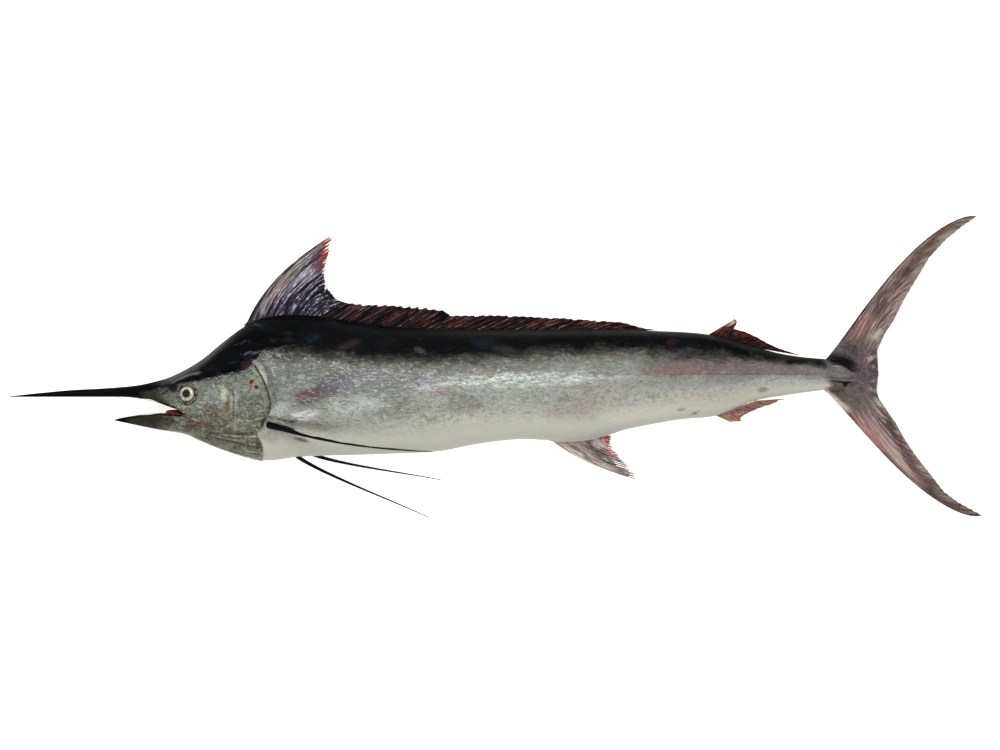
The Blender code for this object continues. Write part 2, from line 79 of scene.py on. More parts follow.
# %% [markdown]
# Fish measures. A fish is easiest to describe by three measures in millimetres: x runs back from the bill's
# tip, y runs towards the back from the bill's own line, and z runs out to the fish's left. One function puts
# such a place in the world. The middle plane's height over the floor changes along the body, because the
# flank sinks a little flat where it carries the weight, so that height is a smooth curve of x. Typing world
# places would work too, but nobody could check them against a drawing of the fish.

# %% Curves through a few measured points
MM = 0.001
LENGTH = 2045.0
MIDDLE_X = -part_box("bill")[0].x / MM
MIDDLE_Y = 63.4


def smooth(low, high, x):
    """0 below low, 1 above high, and an even rise between them."""
    t = np.clip((x - low) / (high - low), 0, 1)
    return t * t * (3 - 2 * t)


def between(x, start, full, fade, end):
    """0 up to start, 1 from full to fade, and 0 again from end on."""
    return smooth(start, full, x) * smooth(end, fade, x)


def bell(away, breadth):
    """1 in the middle, fading on both sides over about the breadth."""
    return np.exp(-(away / breadth) ** 2)


def curve(*points):
    """A smooth function through (x, value) points, flat beyond its two ends."""
    xs, values = np.array(points, float).T
    order = np.arange(len(xs))
    low, high = np.maximum(order - 1, 0), np.minimum(order + 1, len(xs) - 1)
    slopes = (values[high] - values[low]) / (xs[high] - xs[low])

    def value(x):
        x = np.clip(x, xs[0], xs[-1])
        i = np.clip(np.searchsorted(xs, x, side="right") - 1, 0, len(xs) - 2)
        step = xs[i + 1] - xs[i]
        t = (x - xs[i]) / step
        rise, start, end = values[i + 1] - values[i], slopes[i] * step, slopes[i + 1] * step
        return values[i] + t * (start + t * (3 * rise - 2 * start - end + t * (start + end - 2 * rise)))

    return value


LIE = curve(
    (0, 55), (217, 58), (371, 66), (440, 68.5), (525, 70.5), (610, 78), (700, 81), (820, 81), (990, 76),
    (1152, 67), (1324, 57), (1450, 49), (1576, 41), (1702, 33), (1800, 29), (2040, 12))


def world(x, y, z):
    """World places, in metres, of fish measures in millimetres. Nothing goes below the floor."""
    height = np.maximum(LIE(x) + z, 0)
    return np.stack(np.broadcast_arrays(x - MIDDLE_X, y - MIDDLE_Y, height), -1) * MM


print("the tail's tip is at world x =", world(LENGTH, 0, 0)[0].round(4))

# %% The body's outline and girth
TAIL_END = 1800.0
WAIST = 0.47
KEEL = 2.1
COAT = 0.4
BACK = curve(
    (0, 1.5), (60, 8), (130, 14.5), (190, 17.6), (262, 23.5), (300, 31), (345, 45), (400, 76), (442, 110),
    (484, 142), (520, 161), (575, 171), (650, 168), (720, 156), (790, 147), (900, 141.5), (1060, 139.5),
    (1250, 140.5), (1360, 138.5), (1450, 133.5), (1500, 124), (1535, 113.5), (1576, 102), (1620, 91),
    (1665, 84), (1720, 79), (1760, 75), (TAIL_END, 66))
BELLY = curve(
    (217, -50), (262, -59.5), (310, -69), (370, -79.5), (400, -93), (442, -110), (484, -123), (530, -133.5),
    (560, -133.5), (600, -127.5), (660, -124.5), (780, -121), (900, -115), (990, -98.5), (1070, -90),
    (1150, -92), (1210, -89), (1250, -79), (1330, -62), (1408, -48.5), (1482, -40.5), (1565, -9), (1640, 4),
    (1720, 15), (1760, 20), (TAIL_END, 30))
HALF_WIDTH = curve(
    (0, 1.4), (60, 4.5), (130, 7), (217, 10.5), (262, 14), (300, 21), (345, 35), (400, 48), (442, 58),
    (520, 71), (610, 81), (700, 84), (820, 84), (990, 79), (1152, 70), (1324, 57), (1450, 44), (1576, 30),
    (1680, 19), (1720, 16), (1760, 10), (TAIL_END, 2.2))
CREST = curve((0, 2.0), (345, 2.0), (450, 1.8), (560, 1.7), (700, 1.85), (1000, 2.1), (TAIL_END, 2.1))


def oval(top, bottom, width, angle, crest=2.0):
    """Points of an upright oval at angles from its top, 0, round one side to its foot, pi."""
    middle = bottom + WAIST * (top - bottom)
    upper = angle < math.pi / 2
    reach, square = np.where(upper, top - middle, middle - bottom), np.where(upper, crest, KEEL)
    y = middle + np.sign(np.cos(angle)) * np.abs(np.cos(angle)) ** (2 / square) * reach
    return y, width * np.abs(np.sin(angle)) ** (2 / square)


def body(x, angle):
    """The flesh's section at x: y and z at an angle. It lies under the solids by the coat's depth."""
    return oval(BACK(x) - COAT, BELLY(x) + COAT, HALF_WIDTH(x) - COAT, angle, CREST(x))


def body_angle(x, y):
    """The angle at which the section at x reaches height y."""
    top, bottom = BACK(x) - COAT, BELLY(x) + COAT
    middle = bottom + WAIST * (top - bottom)
    upper = y > middle
    share = np.where(upper, (y - middle) / (top - middle), (middle - y) / (middle - bottom))
    turn = np.arccos(np.clip(share, 0, 1) ** (np.where(upper, CREST(x), KEEL) / 2))
    return np.where(upper, turn, math.pi - turn)


def flank(x, y):
    """How far the left flank stands out at x and y."""
    return body(x, body_angle(x, y))[1]


print("half the body's width at x = 700, y = 20:", float(flank(700, 20).round(1)), "mm")

# %% [markdown]
# Shader maths as sums. Blender mixes colours with nodes, and long sums of Math nodes are hard to read as
# calls. A small class wraps a socket, so that a + b on two wires adds the Math node that works it out.
# Every other node comes from one method that takes its type, its settings and its sockets.

# %% A wire
class Wire:
    """One output of a node. Sums and products of wires add their own Math nodes."""

    def __init__(self, tree, socket):
        self.tree, self.socket = tree, socket

    def work(self, operation, *terms):
        return self.tree.add("ShaderNodeMath", {"operation": operation}, dict(enumerate(terms)))

    def __add__(self, other):
        return self.work("ADD", self, other)

    def __sub__(self, other):
        return self.work("SUBTRACT", self, other)

    def __rsub__(self, other):
        return self.work("SUBTRACT", other, self)

    def __mul__(self, other):
        return self.work("MULTIPLY", self, other)

    def __truediv__(self, other):
        return self.work("DIVIDE", self, other)

    __radd__, __rmul__ = __add__, __mul__

    def size(self):
        return self.work("ABSOLUTE", self)


# %% A tree of nodes, and screen tones
class Tree:
    """A node tree that is filled by calls. Each call adds a node and gives back one of its outputs."""

    def __init__(self, owner):
        self.nodes, self.links = owner.nodes, owner.links

    def feed(self, socket, value):
        if isinstance(value, Wire):
            self.links.new(value.socket, socket)
        else:
            socket.default_value = value

    def add(self, kind, settings=None, sockets=None, output=0):
        node = self.nodes.new(kind)
        for name, value in (settings or {}).items():
            if name == "stops":
                while len(node.color_ramp.elements) < len(value):
                    node.color_ramp.elements.new(1)
                for stop, (place, colour) in zip(node.color_ramp.elements, value):
                    stop.position, stop.color = place, colour
            elif name == "points":
                node.mapping.extend = "HORIZONTAL"
                line = node.mapping.curves[0]
                line.points[0].location, line.points[1].location = value[0], value[-1]
                for point in value[1:-1]:
                    line.points.new(*point)
                node.mapping.update()
            else:
                setattr(node, name, value)
        for name, value in (sockets or {}).items():
            self.feed(node.inputs[name], value)
        return Wire(self, node.outputs[output])

    def vector(self, operation, *terms, output=0):
        return self.add("ShaderNodeVectorMath", {"operation": operation}, dict(enumerate(terms)), output)

    def named(self, name, kind="FLOAT"):
        """What a mesh's points carry under a name, for a Geometry Nodes tree."""
        return self.add("GeometryNodeInputNamedAttribute", {"data_type": kind}, {"Name": name})

    def chance(self, low, high, seed):
        """A random number between two, for each point of a Geometry Nodes tree."""
        return self.add("FunctionNodeRandomValue", {"data_type": "FLOAT"}, {2: low, 3: high, "Seed": seed}, 1)


def tone(red, green, blue):
    """A colour named by its screen values, 0 to 255, as the shader wants it."""
    levels = [(level / 255 + 0.055) / 1.055 for level in (red, green, blue)]
    return (*[max(level, 0.04) ** 2.4 for level in levels], 1)


print("the belly's cream is", [round(level, 3) for level in tone(189, 195, 183)])

# %% [markdown]
# A finish is a material with the patterns that fish skin and fins share. Most of them read the object's own
# coordinates, which are world places here, so that skin, gill covers and scales agree where they meet. Noise
# stretched along the body gives streaks, and a soft ellipse gives a patch. A second noise bends both,
# because nothing on a fish has a clean edge.

# %% Finishes
WAVER, FINE_WAVER, SLOW_WAVER = 0.009, 0.004, 0.016
DULL = 0.02
SOFT_EDGE = 0.45
LINE_RANGE = (-160.0, 200.0)


class Finish(Tree):
    """A material's tree, its Principled shader, and the patterns it is painted with."""

    def __init__(self, name, **constants):
        self.material = bpy.data.materials.new(name)
        self.material.use_nodes = True
        super().__init__(self.material.node_tree)
        self.shader = self.nodes["Principled BSDF"]
        for socket, value in {"specular_ior_level": DULL, **constants}.items():
            self.shader.inputs[socket.replace("_", " ").title().replace("Ior", "IOR")].default_value = value
        self.place = self.add("ShaderNodeTexCoord", output="Object")
        split = self.add("ShaderNodeSeparateXYZ", sockets={0: self.place})
        self.x = split / MM + MIDDLE_X
        self.y = Wire(self, split.socket.node.outputs[1]) / MM + MIDDLE_Y
        drift = self.noise(45, detail=3, output="Color")
        self.drift = self.vector("SUBTRACT", drift, (0.5, 0.5, 0.5))
        self.wavy = self.bent(WAVER)

    def bent(self, depth):
        """The object's coordinates, bent by slow waves."""
        return self.vector("MULTIPLY_ADD", self.drift, (depth, depth, depth), self.place)

    def noise(self, scale, stretch=(1, 1, 1), detail=2.0, rough=0.5, at=None, output=0):
        """Noise of a scale. A stretch over 1 packs it closer along that axis."""
        where = self.vector("MULTIPLY", at or self.place, stretch)
        return self.add("ShaderNodeTexNoise", {}, {"Vector": where, "Scale": scale, "Detail": detail,
                                                   "Roughness": rough}, output)

    def band(self, value, low, high):
        """0 where the value is under low, 1 over high, and a soft step between. It also runs downhill."""
        return self.add("ShaderNodeMapRange", {"interpolation_type": "SMOOTHSTEP"},
                        {"Value": value, "From Min": low, "From Max": high})

    def hump(self, value, middle, reach):
        """1 where the value is at the middle, 0 where it is further off than the reach."""
        return self.band((value - middle).size(), reach, 0)

    def mix(self, first, second, share):
        """The first colour with a share of the second over it. Each is a wire or three screen values."""
        first, second = [tone(*colour) if isinstance(colour, tuple) else colour
                         for colour in (first, second)]
        return self.add("ShaderNodeMix", {"data_type": "RGBA"}, {0: share, 6: first, 7: second}, 2)

    def layers(self, ground, *coats):
        """Paint (colour, share) coats over a ground colour, one after another."""
        for colour, share in coats:
            ground = self.mix(ground, colour, share)
        return ground

    def spot(self, x, y, long, tall, turn=0.0):
        """A soft patch: an ellipse of two half sizes in millimetres, turned by degrees, with a wavy rim."""
        centre = ((x - MIDDLE_X) * MM, (y - MIDDLE_Y) * MM, 0)
        turned = self.add("ShaderNodeMapping", {"vector_type": "TEXTURE"},
                          {"Vector": self.wavy, "Location": centre, "Rotation": (0, 0, math.radians(turn)),
                           "Scale": (long * MM, tall * MM, LENGTH)})
        away = self.vector("LENGTH", turned, output="Value")
        return self.band(away, 1 + SOFT_EDGE, 1 - SOFT_EDGE)

    def along(self, *points):
        """A line over the fish's side, given as (x, y) points, as the height it has at each x."""
        low, high = LINE_RANGE
        dots = [(x / LENGTH, (y - low) / (high - low)) for x, y in points]
        share = self.add("ShaderNodeFloatCurve", {"points": dots}, {"Value": self.x / LENGTH})
        return share * (high - low) + low

    def paint(self, colour, roughness=None, bump=None, depth=0.001, **shares):
        """Join the worked out colour, roughness and height to the shader."""
        self.feed(self.shader.inputs["Base Color"], colour)
        if roughness is not None:
            self.feed(self.shader.inputs["Roughness"], roughness)
        for socket, value in shares.items():
            self.feed(self.shader.inputs[socket.title()], value)
        if bump is not None:
            normal = self.add("ShaderNodeBump", {}, {"Height": bump, "Distance": depth, "Strength": 1.0})
            self.feed(self.shader.inputs["Normal"], normal)
        return self.material


# %% [markdown]
# Camera, floor and light. The photo is a flat side view, taken from far off, so the camera stands high over
# the fish with a long lens and looks straight down. The light is plain and soft: a pale sky all round, one
# large lamp on the back's side, and a weaker one on the belly's side so that no shadow is hard.

# %% Camera
VIEW_WIDTH = 2.1
LENS, SENSOR = 600.0, 36.0
FAR_CLIP = 60
VIEW_CENTRE = (0.00735, -0.01785, 0.07)

camera = in_scene("camera", bpy.data.cameras.new("camera"))
camera.data.lens, camera.data.sensor_width, camera.data.clip_end = LENS, SENSOR, FAR_CLIP
camera.location = Vector(VIEW_CENTRE) + Vector((0, 0, VIEW_WIDTH * LENS / SENSOR))
bpy.context.scene.camera = camera
bpy.context.scene.view_settings.view_transform = "Standard"
print("the camera is", round(camera.location.z, 2), "m up")

# %% Floor and lamps
FLOOR_HALF = 9.0
LAMPS = (("back_side_lamp", (-0.3, 2.4, 4.2), 2.2, 150.0), ("belly_side_lamp", (0.6, -3.6, 3.4), 3.0, 55.0))
SKY = 0.6
FLOOR_GLOW = 0.55

ground = bmesh.new()
bmesh.ops.create_grid(ground, x_segments=1, y_segments=1, size=FLOOR_HALF)
floor_mesh = bpy.data.meshes.new("floor")
ground.to_mesh(floor_mesh)
floor = in_scene("floor", floor_mesh)
floor_finish = Finish("pale_floor", roughness=0.9, emission_color=(1, 1, 1, 1), emission_strength=FLOOR_GLOW)
cloudy = floor_finish.noise(1.5, detail=3)
floor_finish.paint(floor_finish.mix((250, 250, 250), (255, 255, 255), cloudy))
floor_mesh.materials.append(floor_finish.material)

for name, where, size, power in LAMPS:
    lamp = in_scene(name, bpy.data.lights.new(name, "AREA"))
    lamp.data.size, lamp.data.energy = size, power
    lamp.location = where
    lamp.rotation_euler = (-lamp.location).to_track_quat("-Z", "Y").to_euler()

sky = bpy.data.worlds.new("pale_sky")
sky.use_nodes = True
background = sky.node_tree.nodes["Background"].inputs
background["Color"].default_value, background["Strength"].default_value = (1, 1, 1, 1), SKY
bpy.context.scene.world = sky
print(len(LAMPS), "lamps and a sky of strength", SKY)

# %% [markdown]
# The skin is one closed mesh from the bill's tip to the tail's root. It could be sculpted or remeshed from
# the solids, but rows of points worked out from the outline keep an even grid, and a lip, a gill or a ridge
# is then a change of height at a known place. In front of the mouth's corner the grid divides into an upper
# jaw and a lower jaw. Each is a ring that runs over its outside, round the lip and in to the mouth, and the
# two outsides meet at the corner and run on as the body. A pocket closes the mouth behind the tongue.

# %% The jaws' own shapes
JAW_SEAM, JAW_LEAN, LEAN_REACH = 345.0, 0.51, 85.0
CORNER = 349.5
JOIN_START, JOIN_SHORT = 250, 10
LIP_PLACE, LIP_BEAD, BEAD_BREADTH = 0.7, 1.4, 0.05
LEAN_ROUNDS = 16
ROOF_RISE, FLOOR_SINK = 5.0, -6.0
COLUMN_SHARE = 0.227
CHEEK_LINE = ((400, -51.5), (432, -66), (470, -74))
UPPER_LIP = curve(
    (0, -0.6), (198, -0.6), (232, -0.8), (253, -1.7), (274, -4.8), (295, -8.6), (316, -14.6), (337, -21.6),
    (349, -25.8), (358, -29.4), (369, -38), *CHEEK_LINE)
LOWER_LIP = curve(
    (217, -49.4), (232, -44.7), (253, -40.8), (274, -37.3), (295, -34.2), (316, -33.9), (337, -35.2),
    (358, -36.4), (369, -38), *CHEEK_LINE)
JAW_WIDTH = curve((217, 1.2), (232, 6.5), (262, 12), (300, 19.5), (345, 34))


# %% The upper and the lower jaw
def column_line(lip, x):
    """The height of a lip's own row of points: it follows the lip and the cheek, then the lower flank."""
    low = BELLY(x) + COLUMN_SHARE * (BACK(x) - BELLY(x))
    return lip(x) + (low - lip(x)) * smooth(420, 520, x)


def upper_side(x, u):
    """The outside above the lip, from the back's ridge, 0, to the lip, 1."""
    return body(x, body_angle(x, column_line(UPPER_LIP, x)) * u)


def lower_side(x, u):
    """The outside below the lip, from the belly's ridge, 0, to the lip, 1."""
    return body(x, math.pi - (math.pi - body_angle(x, column_line(LOWER_LIP, x))) * u)


def jaw(side, lip, x, u, own, rise):
    """A jaw from its outer ridge, 0, past its lip to the middle of the mouth, 1."""
    outer_y, outer_z = side(x, np.minimum(u / LIP_PLACE, 1))
    inward = np.clip((u - LIP_PLACE) / (1 - LIP_PLACE), 0, 1)
    outer = u <= LIP_PLACE
    y = np.where(outer, outer_y, lip(x) + rise * np.sin(inward * math.pi / 2))
    z = np.where(outer, outer_z, flank(x, lip(x)) * (1 - inward))
    joined = smooth(JOIN_START, JAW_SEAM - JOIN_SHORT, x)
    bead = LIP_BEAD * joined * (1 - joined / 2) * bell(u - LIP_PLACE, BEAD_BREADTH)
    return own[0] + (y - own[0]) * joined, own[1] + (z - own[1]) * joined + bead


def upper_jaw(x, u):
    """The bill and the upper jaw, from the back's ridge to the middle of the mouth's roof."""
    own = oval(BACK(x) - COAT, UPPER_LIP(x), HALF_WIDTH(x) - COAT, math.pi * u)
    return jaw(upper_side, UPPER_LIP, x, u, own, ROOF_RISE)


def lower_jaw(x, u):
    """The lower jaw, from the belly's ridge to the middle of the mouth's floor."""
    own = oval(LOWER_LIP(x), BELLY(x) + COAT, np.maximum(JAW_WIDTH(x) - COAT, 1), math.pi * (1 - u))
    return jaw(lower_side, LOWER_LIP, x, u, own, FLOOR_SINK)


def leaning_rows(starts, shape, steps):
    """Rows of places, one for each start, that lean back with the jaws round the mouth's corner."""
    start, step = np.meshgrid(starts, steps, indexing="ij")
    lean = JAW_LEAN * np.maximum(1 - np.abs(start - JAW_SEAM) / LEAN_REACH, 0)
    x = start.copy()
    for _ in range(LEAN_ROUNDS):
        y, z = shape(x, step)
        x = start - lean * y
    half = np.stack((x, y, z), -1)
    return np.concatenate((half, half[:, -2:0:-1] * (1, 1, -1)), 1)


print("the mouth gapes by", (UPPER_LIP(262) - LOWER_LIP(262)).round(1), "mm at x = 262")

# %% The skin's rows
UPPER_COLUMNS, LOWER_COLUMNS, MOUTH_COLUMNS = 60, 32, 12
HALF_COLUMNS = UPPER_COLUMNS + LOWER_COLUMNS
HEAD_END = 560.0
THROAT = (398, -46, 0)
THROAT_STEPS = (0.35, 0.7, 0.92)

outer_steps = np.linspace(0, LIP_PLACE, UPPER_COLUMNS + 1)
inner_steps = np.linspace(LIP_PLACE, 1, MOUTH_COLUMNS + 1)[1:]
upper_steps = np.concatenate((outer_steps, inner_steps))
lower_steps = np.concatenate((np.linspace(0, LIP_PLACE, LOWER_COLUMNS + 1), inner_steps))
bill_starts = np.concatenate((np.linspace(0.5, 217, 44), np.linspace(219, CORNER, 64)))
jaw_starts = np.concatenate(((217.6, 218.4), np.linspace(220, CORNER, 62)))
body_starts = np.concatenate((np.linspace(CORNER, HEAD_END, 104), np.linspace(566, 1500, 138),
                              np.linspace(1503, TAIL_END, 106)))


def whole_body(x, c):
    """The body behind the mouth's corner, by column number from the back's ridge to the belly's."""
    upper = upper_side(x, np.minimum(c / UPPER_COLUMNS, 1))
    lower = lower_side(x, np.minimum((HALF_COLUMNS - c) / LOWER_COLUMNS, 1))
    return [np.where(c <= UPPER_COLUMNS, above, below) for above, below in zip(upper, lower)]


body_rows = leaning_rows(body_starts, whole_body, np.arange(HALF_COLUMNS + 1.0))
bill_rows = leaning_rows(bill_starts, upper_jaw, upper_steps)
jaw_rows = leaning_rows(jaw_starts, lower_jaw, lower_steps)
print("rows of the body, bill and jaw:", body_rows.shape[:2], bill_rows.shape[:2], jaw_rows.shape[:2])

# %% [markdown]
# The rows become faces through their points' numbers. Where the jaws join the body they share its points,
# so the skin has no seam to hide. The same walk lays out the map that a bake needs: three strips, for head,
# trunk and tail, each the skin cut along the ridge of the back and rolled flat.

# %% From rows to one mesh
STRIPS = (
    ((CORNER, HEAD_END), (0.62, 1.0), (0.5, 1.0)), ((HEAD_END, 1180), (0.0, 1.0), (0.25, 0.5)),
    ((1180, TAIL_END), (0.0, 1.0), (0.0, 0.25)))


class Cloth:
    """Points and faces gathered patch by patch, with where each corner lies on the flat map."""

    def __init__(self):
        self.places, self.faces, self.map = [], [], []
        self.count = 0

    def numbers(self, rows):
        """Keep rows of places and give back their numbers in the same rows."""
        self.places.append(rows.reshape(-1, 3))
        numbers = np.arange(rows.shape[0] * rows.shape[1]).reshape(rows.shape[:2]) + self.count
        self.count += numbers.size
        return numbers

    def join(self, numbers, along, across, shares=None, closed=True):
        """Faces between neighbours of a grid of numbers. Shares place its rows along the map."""
        rows, columns = numbers.shape
        shares = np.linspace(0, 1, rows) if shares is None else shares
        u = along[0] + (along[1] - along[0]) * np.asarray(shares)
        v = np.linspace(across[0], across[1], columns + closed)
        for r in range(rows - 1):
            for c in range(columns if closed else columns - 1):
                d = (c + 1) % columns
                corners = (numbers[r, c], numbers[r, d], numbers[r + 1, d], numbers[r + 1, c])
                spots = ((u[r], v[c]), (u[r], v[c + 1]), (u[r + 1], v[c + 1]), (u[r + 1], v[c]))
                kept = [k for k in range(4) if corners[k] != corners[k - 1]]
                self.faces.append([corners[k] for k in kept])
                self.map.append([spots[k] for k in kept])

    def close(self, ring, spot):
        """A fan of triangles from a ring's own middle."""
        places = np.concatenate(self.places)
        centre = int(self.numbers(places[ring].mean(0).reshape(1, 1, 3))[0, 0])
        for first, second in zip(ring, np.roll(ring, -1)):
            self.faces.append([first, second, centre])
            self.map.append([spot, spot, spot])

    def mesh(self, name):
        """The mesh, still in fish measures, with the points that no face uses left out."""
        places = np.concatenate(self.places)
        used = np.unique(np.concatenate([np.array(face) for face in self.faces]))
        new = np.full(len(places), -1)
        new[used] = np.arange(len(used))
        made = bpy.data.meshes.new(name)
        made.from_pydata(places[used].tolist(), [], [[int(new[n]) for n in face] for face in self.faces])
        flat = made.uv_layers.new(name="OFBake")
        flat.uv.foreach_set("vector", np.array([spot for face in self.map for spot in face]).ravel())
        return made, used


# %% The skin's faces
hide = Cloth()
body_numbers = hide.numbers(body_rows)
bill_numbers, jaw_numbers = hide.numbers(bill_rows), hide.numbers(jaw_rows)
last_bill, last_jaw = bill_numbers[-1], jaw_numbers[-1]
last_bill[:UPPER_COLUMNS + 1] = body_numbers[0, :UPPER_COLUMNS + 1]
last_bill[-UPPER_COLUMNS:] = body_numbers[0, -UPPER_COLUMNS:]
for column in range(LOWER_COLUMNS + 1):
    last_jaw[column] = body_numbers[0, HALF_COLUMNS - column]
    last_jaw[-column % len(last_jaw)] = body_numbers[0, HALF_COLUMNS + column]

hide.join(bill_numbers, (0.0, 0.6), (0.72, 1.0), bill_starts / CORNER)
hide.join(jaw_numbers, (0.3, 0.6), (0.5, 0.71), (jaw_starts - jaw_starts[0]) / (CORNER - jaw_starts[0]))
for ends, along, across in STRIPS:
    first, last = np.searchsorted(body_starts, ends)
    starts = body_starts[first:last + 1]
    hide.join(body_numbers[first:last + 1], along, across, (starts - starts[0]) / (starts[-1] - starts[0]))
hide.close(bill_numbers[0], (0.002, 0.86))
hide.close(jaw_numbers[0], (0.302, 0.6))
hide.close(body_numbers[-1], (0.998, 0.12))
print(len(hide.faces), "faces so far")

# %% The mouth's pocket
gape = 2 * MOUTH_COLUMNS
roof = last_bill[UPPER_COLUMNS:UPPER_COLUMNS + gape + 1]
mouth_floor = last_jaw[LOWER_COLUMNS:LOWER_COLUMNS + gape + 1]
rim = np.concatenate((roof, mouth_floor[-2:0:-1]))
places = np.concatenate(hide.places)
pocket = np.stack([places[rim] + (THROAT - places[rim]) * share for share in THROAT_STEPS])
pocket_numbers = np.concatenate((rim[None], hide.numbers(pocket)))
hide.join(pocket_numbers, (0.0, 0.28), (0.5, 0.7))
hide.close(pocket_numbers[-1], (0.28, 0.6))
print("the pocket has", pocket_numbers.shape, "points")

# %% [markdown]
# Relief. A fish's head is bone under thin skin: a brow over the eye, the socket, the fold behind the mouth,
# the edge of the cheek plate, the rays that spread the throat's membrane, the soft lips of skin on each side
# of the dorsal fin. All are ridges or hollows along short lines, so one function gives the distance to a
# line and the rest is a table of lines, heights and breadths. They are pushed out along the skin's normals,
# so that they are real shape and not only shading.

# %% Ridges and hollows along lines
EYE = (372.6, 6.0)
GILL_FOOT = curve((-130, 531), (-127, 531), (-109, 533), (-86, 525), (-80, 521))
COVER_FRONT = curve((-80, 440), (-61, 452), (-47, 469), (-27, 473), (10, 468), (40, 460), (72, 452))
COVER_REAR = curve(
    (-80, 508), (-66, 527), (-45, 540), (-36, 545), (-17, 547), (19, 541), (41, 532), (72, 512))
# Each line's points, then its height and half breadth in millimetres
FOLDS = (
    (((345, 31), (372, 43), (404, 53)), 3.5, 9.0),
    (((350, 22), (372, 31), (398, 38)), -1.4, 5.0),
    (((346, -12), (362, -20), (392, -32), (420, -50)), 1.2, 6.0),
    (((362, -36.5), (372, -39), (386, -45), (400, -51.5), (416, -59), (432, -66)), -1.9, 2.0),
    (((376, -34), (400, -45), (430, -58)), 1.1, 3.0),
    (((378, -47), (402, -60), (430, -73)), 1.0, 3.4),
    (((459, 30), (464, 10), (468, -27), (464, -46), (446, -58)), 1.1, 3.2),
    (((461, 32), (469, 10), (474, -27), (470, -48), (452, -61), (440, -66)), -1.3, 2.2),
    (((300, 20), (325, 24), (350, 33)), 0.9, 4.0),
    (((541, -36), (565, -44), (600, -52), (640, -57)), 2.0, 6.0),
    (((552, -60), (580, -66), (620, -73)), -2.2, 5.0),
    (((541, -48), (548, -66), (540, -84)), -2.6, 5.0),
    (((600, -100), (625, -92), (650, -93)), 1.1, 4.0),
)
THROAT_RAYS, RAY_RISE, RAY_BREADTH, RAY_SAG = 7, 1.25, 2.3, 5
RAY_ROOTS, RAY_ENDS = ((398, -74), (446, -109)), ((524, -84), (531, -127))
MEMBRANE_RISE = 2.2
SOCKET_DEPTH, SOCKET_RIM = 9.0, (14.5, 19.0)
# Heights and depths of what lies along the body, and the dorsal sheath's distance from the middle
SHOULDER_HOLLOW, SHOULDER_SWELL = 2.4, 1.6
SHEATH_RISE, SHEATH_PLACE = 2.6, 7.0
VENT_GROOVE, ANAL_FOLD, SIDE_LINE = 2.2, 4.5, 0.5
# Each keel's middle, half length, half breadth, height and slope
TAIL_KEELS = ((1750, 44.5, 31, 5.5, 8.5, 0.0), (1739, 18, 19, 4.5, 6.5, -0.25))


# %% How far the skin stands out
def to_line(x, y, line):
    """The distance of places from a line of points, and how far along it, 0 to 1, each one is."""
    best, share = np.full(np.shape(x), 1e9), np.zeros(np.shape(x))
    for i, ((x0, y0), (x1, y1)) in enumerate(zip(line, line[1:])):
        t = ((x - x0) * (x1 - x0) + (y - y0) * (y1 - y0)) / ((x1 - x0) ** 2 + (y1 - y0) ** 2)
        t = np.clip(t, 0, 1)
        away = np.hypot(x - x0 - t * (x1 - x0), y - y0 - t * (y1 - y0))
        nearer = away < best
        best, share = np.where(nearer, away, best), np.where(nearer, (i + t) / (len(line) - 1), share)
    return best, share


def throat_ray(i):
    """The line of one ray under the throat's membrane, bent a little down."""
    t = i / (THROAT_RAYS - 1)
    root, end = [np.array(first) + t * np.subtract(last, first) for first, last in (RAY_ROOTS, RAY_ENDS)]
    return (root, (root + end) / 2 - (0, RAY_SAG), end)


def relief(x, y, z):
    """How far the skin stands proud of the plain body, in millimetres, at places on it."""
    rise = np.zeros(len(x))
    for line, height, breadth in FOLDS:
        away, share = to_line(x, y, line)
        ends = between(share, 0, 0.12, 0.88, 1) * 0.6 + 0.4
        rise += height * bell(away, breadth) * ends
    for i in range(THROAT_RAYS):
        away, share = to_line(x, y, throat_ray(i))
        rise += RAY_RISE * bell(away, RAY_BREADTH) * smooth(0, 0.25, share)
    foot = GILL_FOOT(y)
    rise += MEMBRANE_RISE * smooth(-74, -86, y) * between(x, foot - 60, foot - 8, foot, foot + 3)
    eye_gap = np.hypot(x - EYE[0], y - EYE[1])
    rise -= SOCKET_DEPTH * smooth(SOCKET_RIM[1], SOCKET_RIM[0], eye_gap)
    shoulder = x - COVER_REAR(y)
    rise -= SHOULDER_HOLLOW * bell(shoulder - 5, 8) * between(y, -84, -70, 66, 84)
    rise += SHOULDER_SWELL * bell(shoulder - 24, 11) * between(y, -60, -30, 70, 95)
    sheath = between(x, 500, 530, 1290, 1350) * (0.45 + 0.55 * smooth(860, 700, x))
    rise += sheath * SHEATH_RISE * bell(np.abs(z) - SHEATH_PLACE, 3.2) * (y > 100)
    groove = between(x, 600, 640, 840, 900) * (y < -90)
    rise -= VENT_GROOVE * groove * bell(z, 3.0)
    for keel_x, keel_y, reach, breadth, height, slope in TAIL_KEELS:
        line = keel_y + slope * (x - keel_x)
        lens = np.clip(1 - ((x - keel_x) / reach) ** 2, 0, 1) ** 0.6
        rise += height * lens * np.exp(-np.abs((y - line) / breadth) ** 3)
    fold = between(x, 1125, 1150, 1250, 1300) * (y < -40)
    rise += ANAL_FOLD * fold * bell(np.abs(z) - 6, 4)
    rise -= SIDE_LINE * bell(y - 46, 6) * between(x, 600, 900, 1600, 1700)
    return rise


print(len(FOLDS), "folds on the head,", THROAT_RAYS, "throat rays and", len(TAIL_KEELS), "keels on a side")

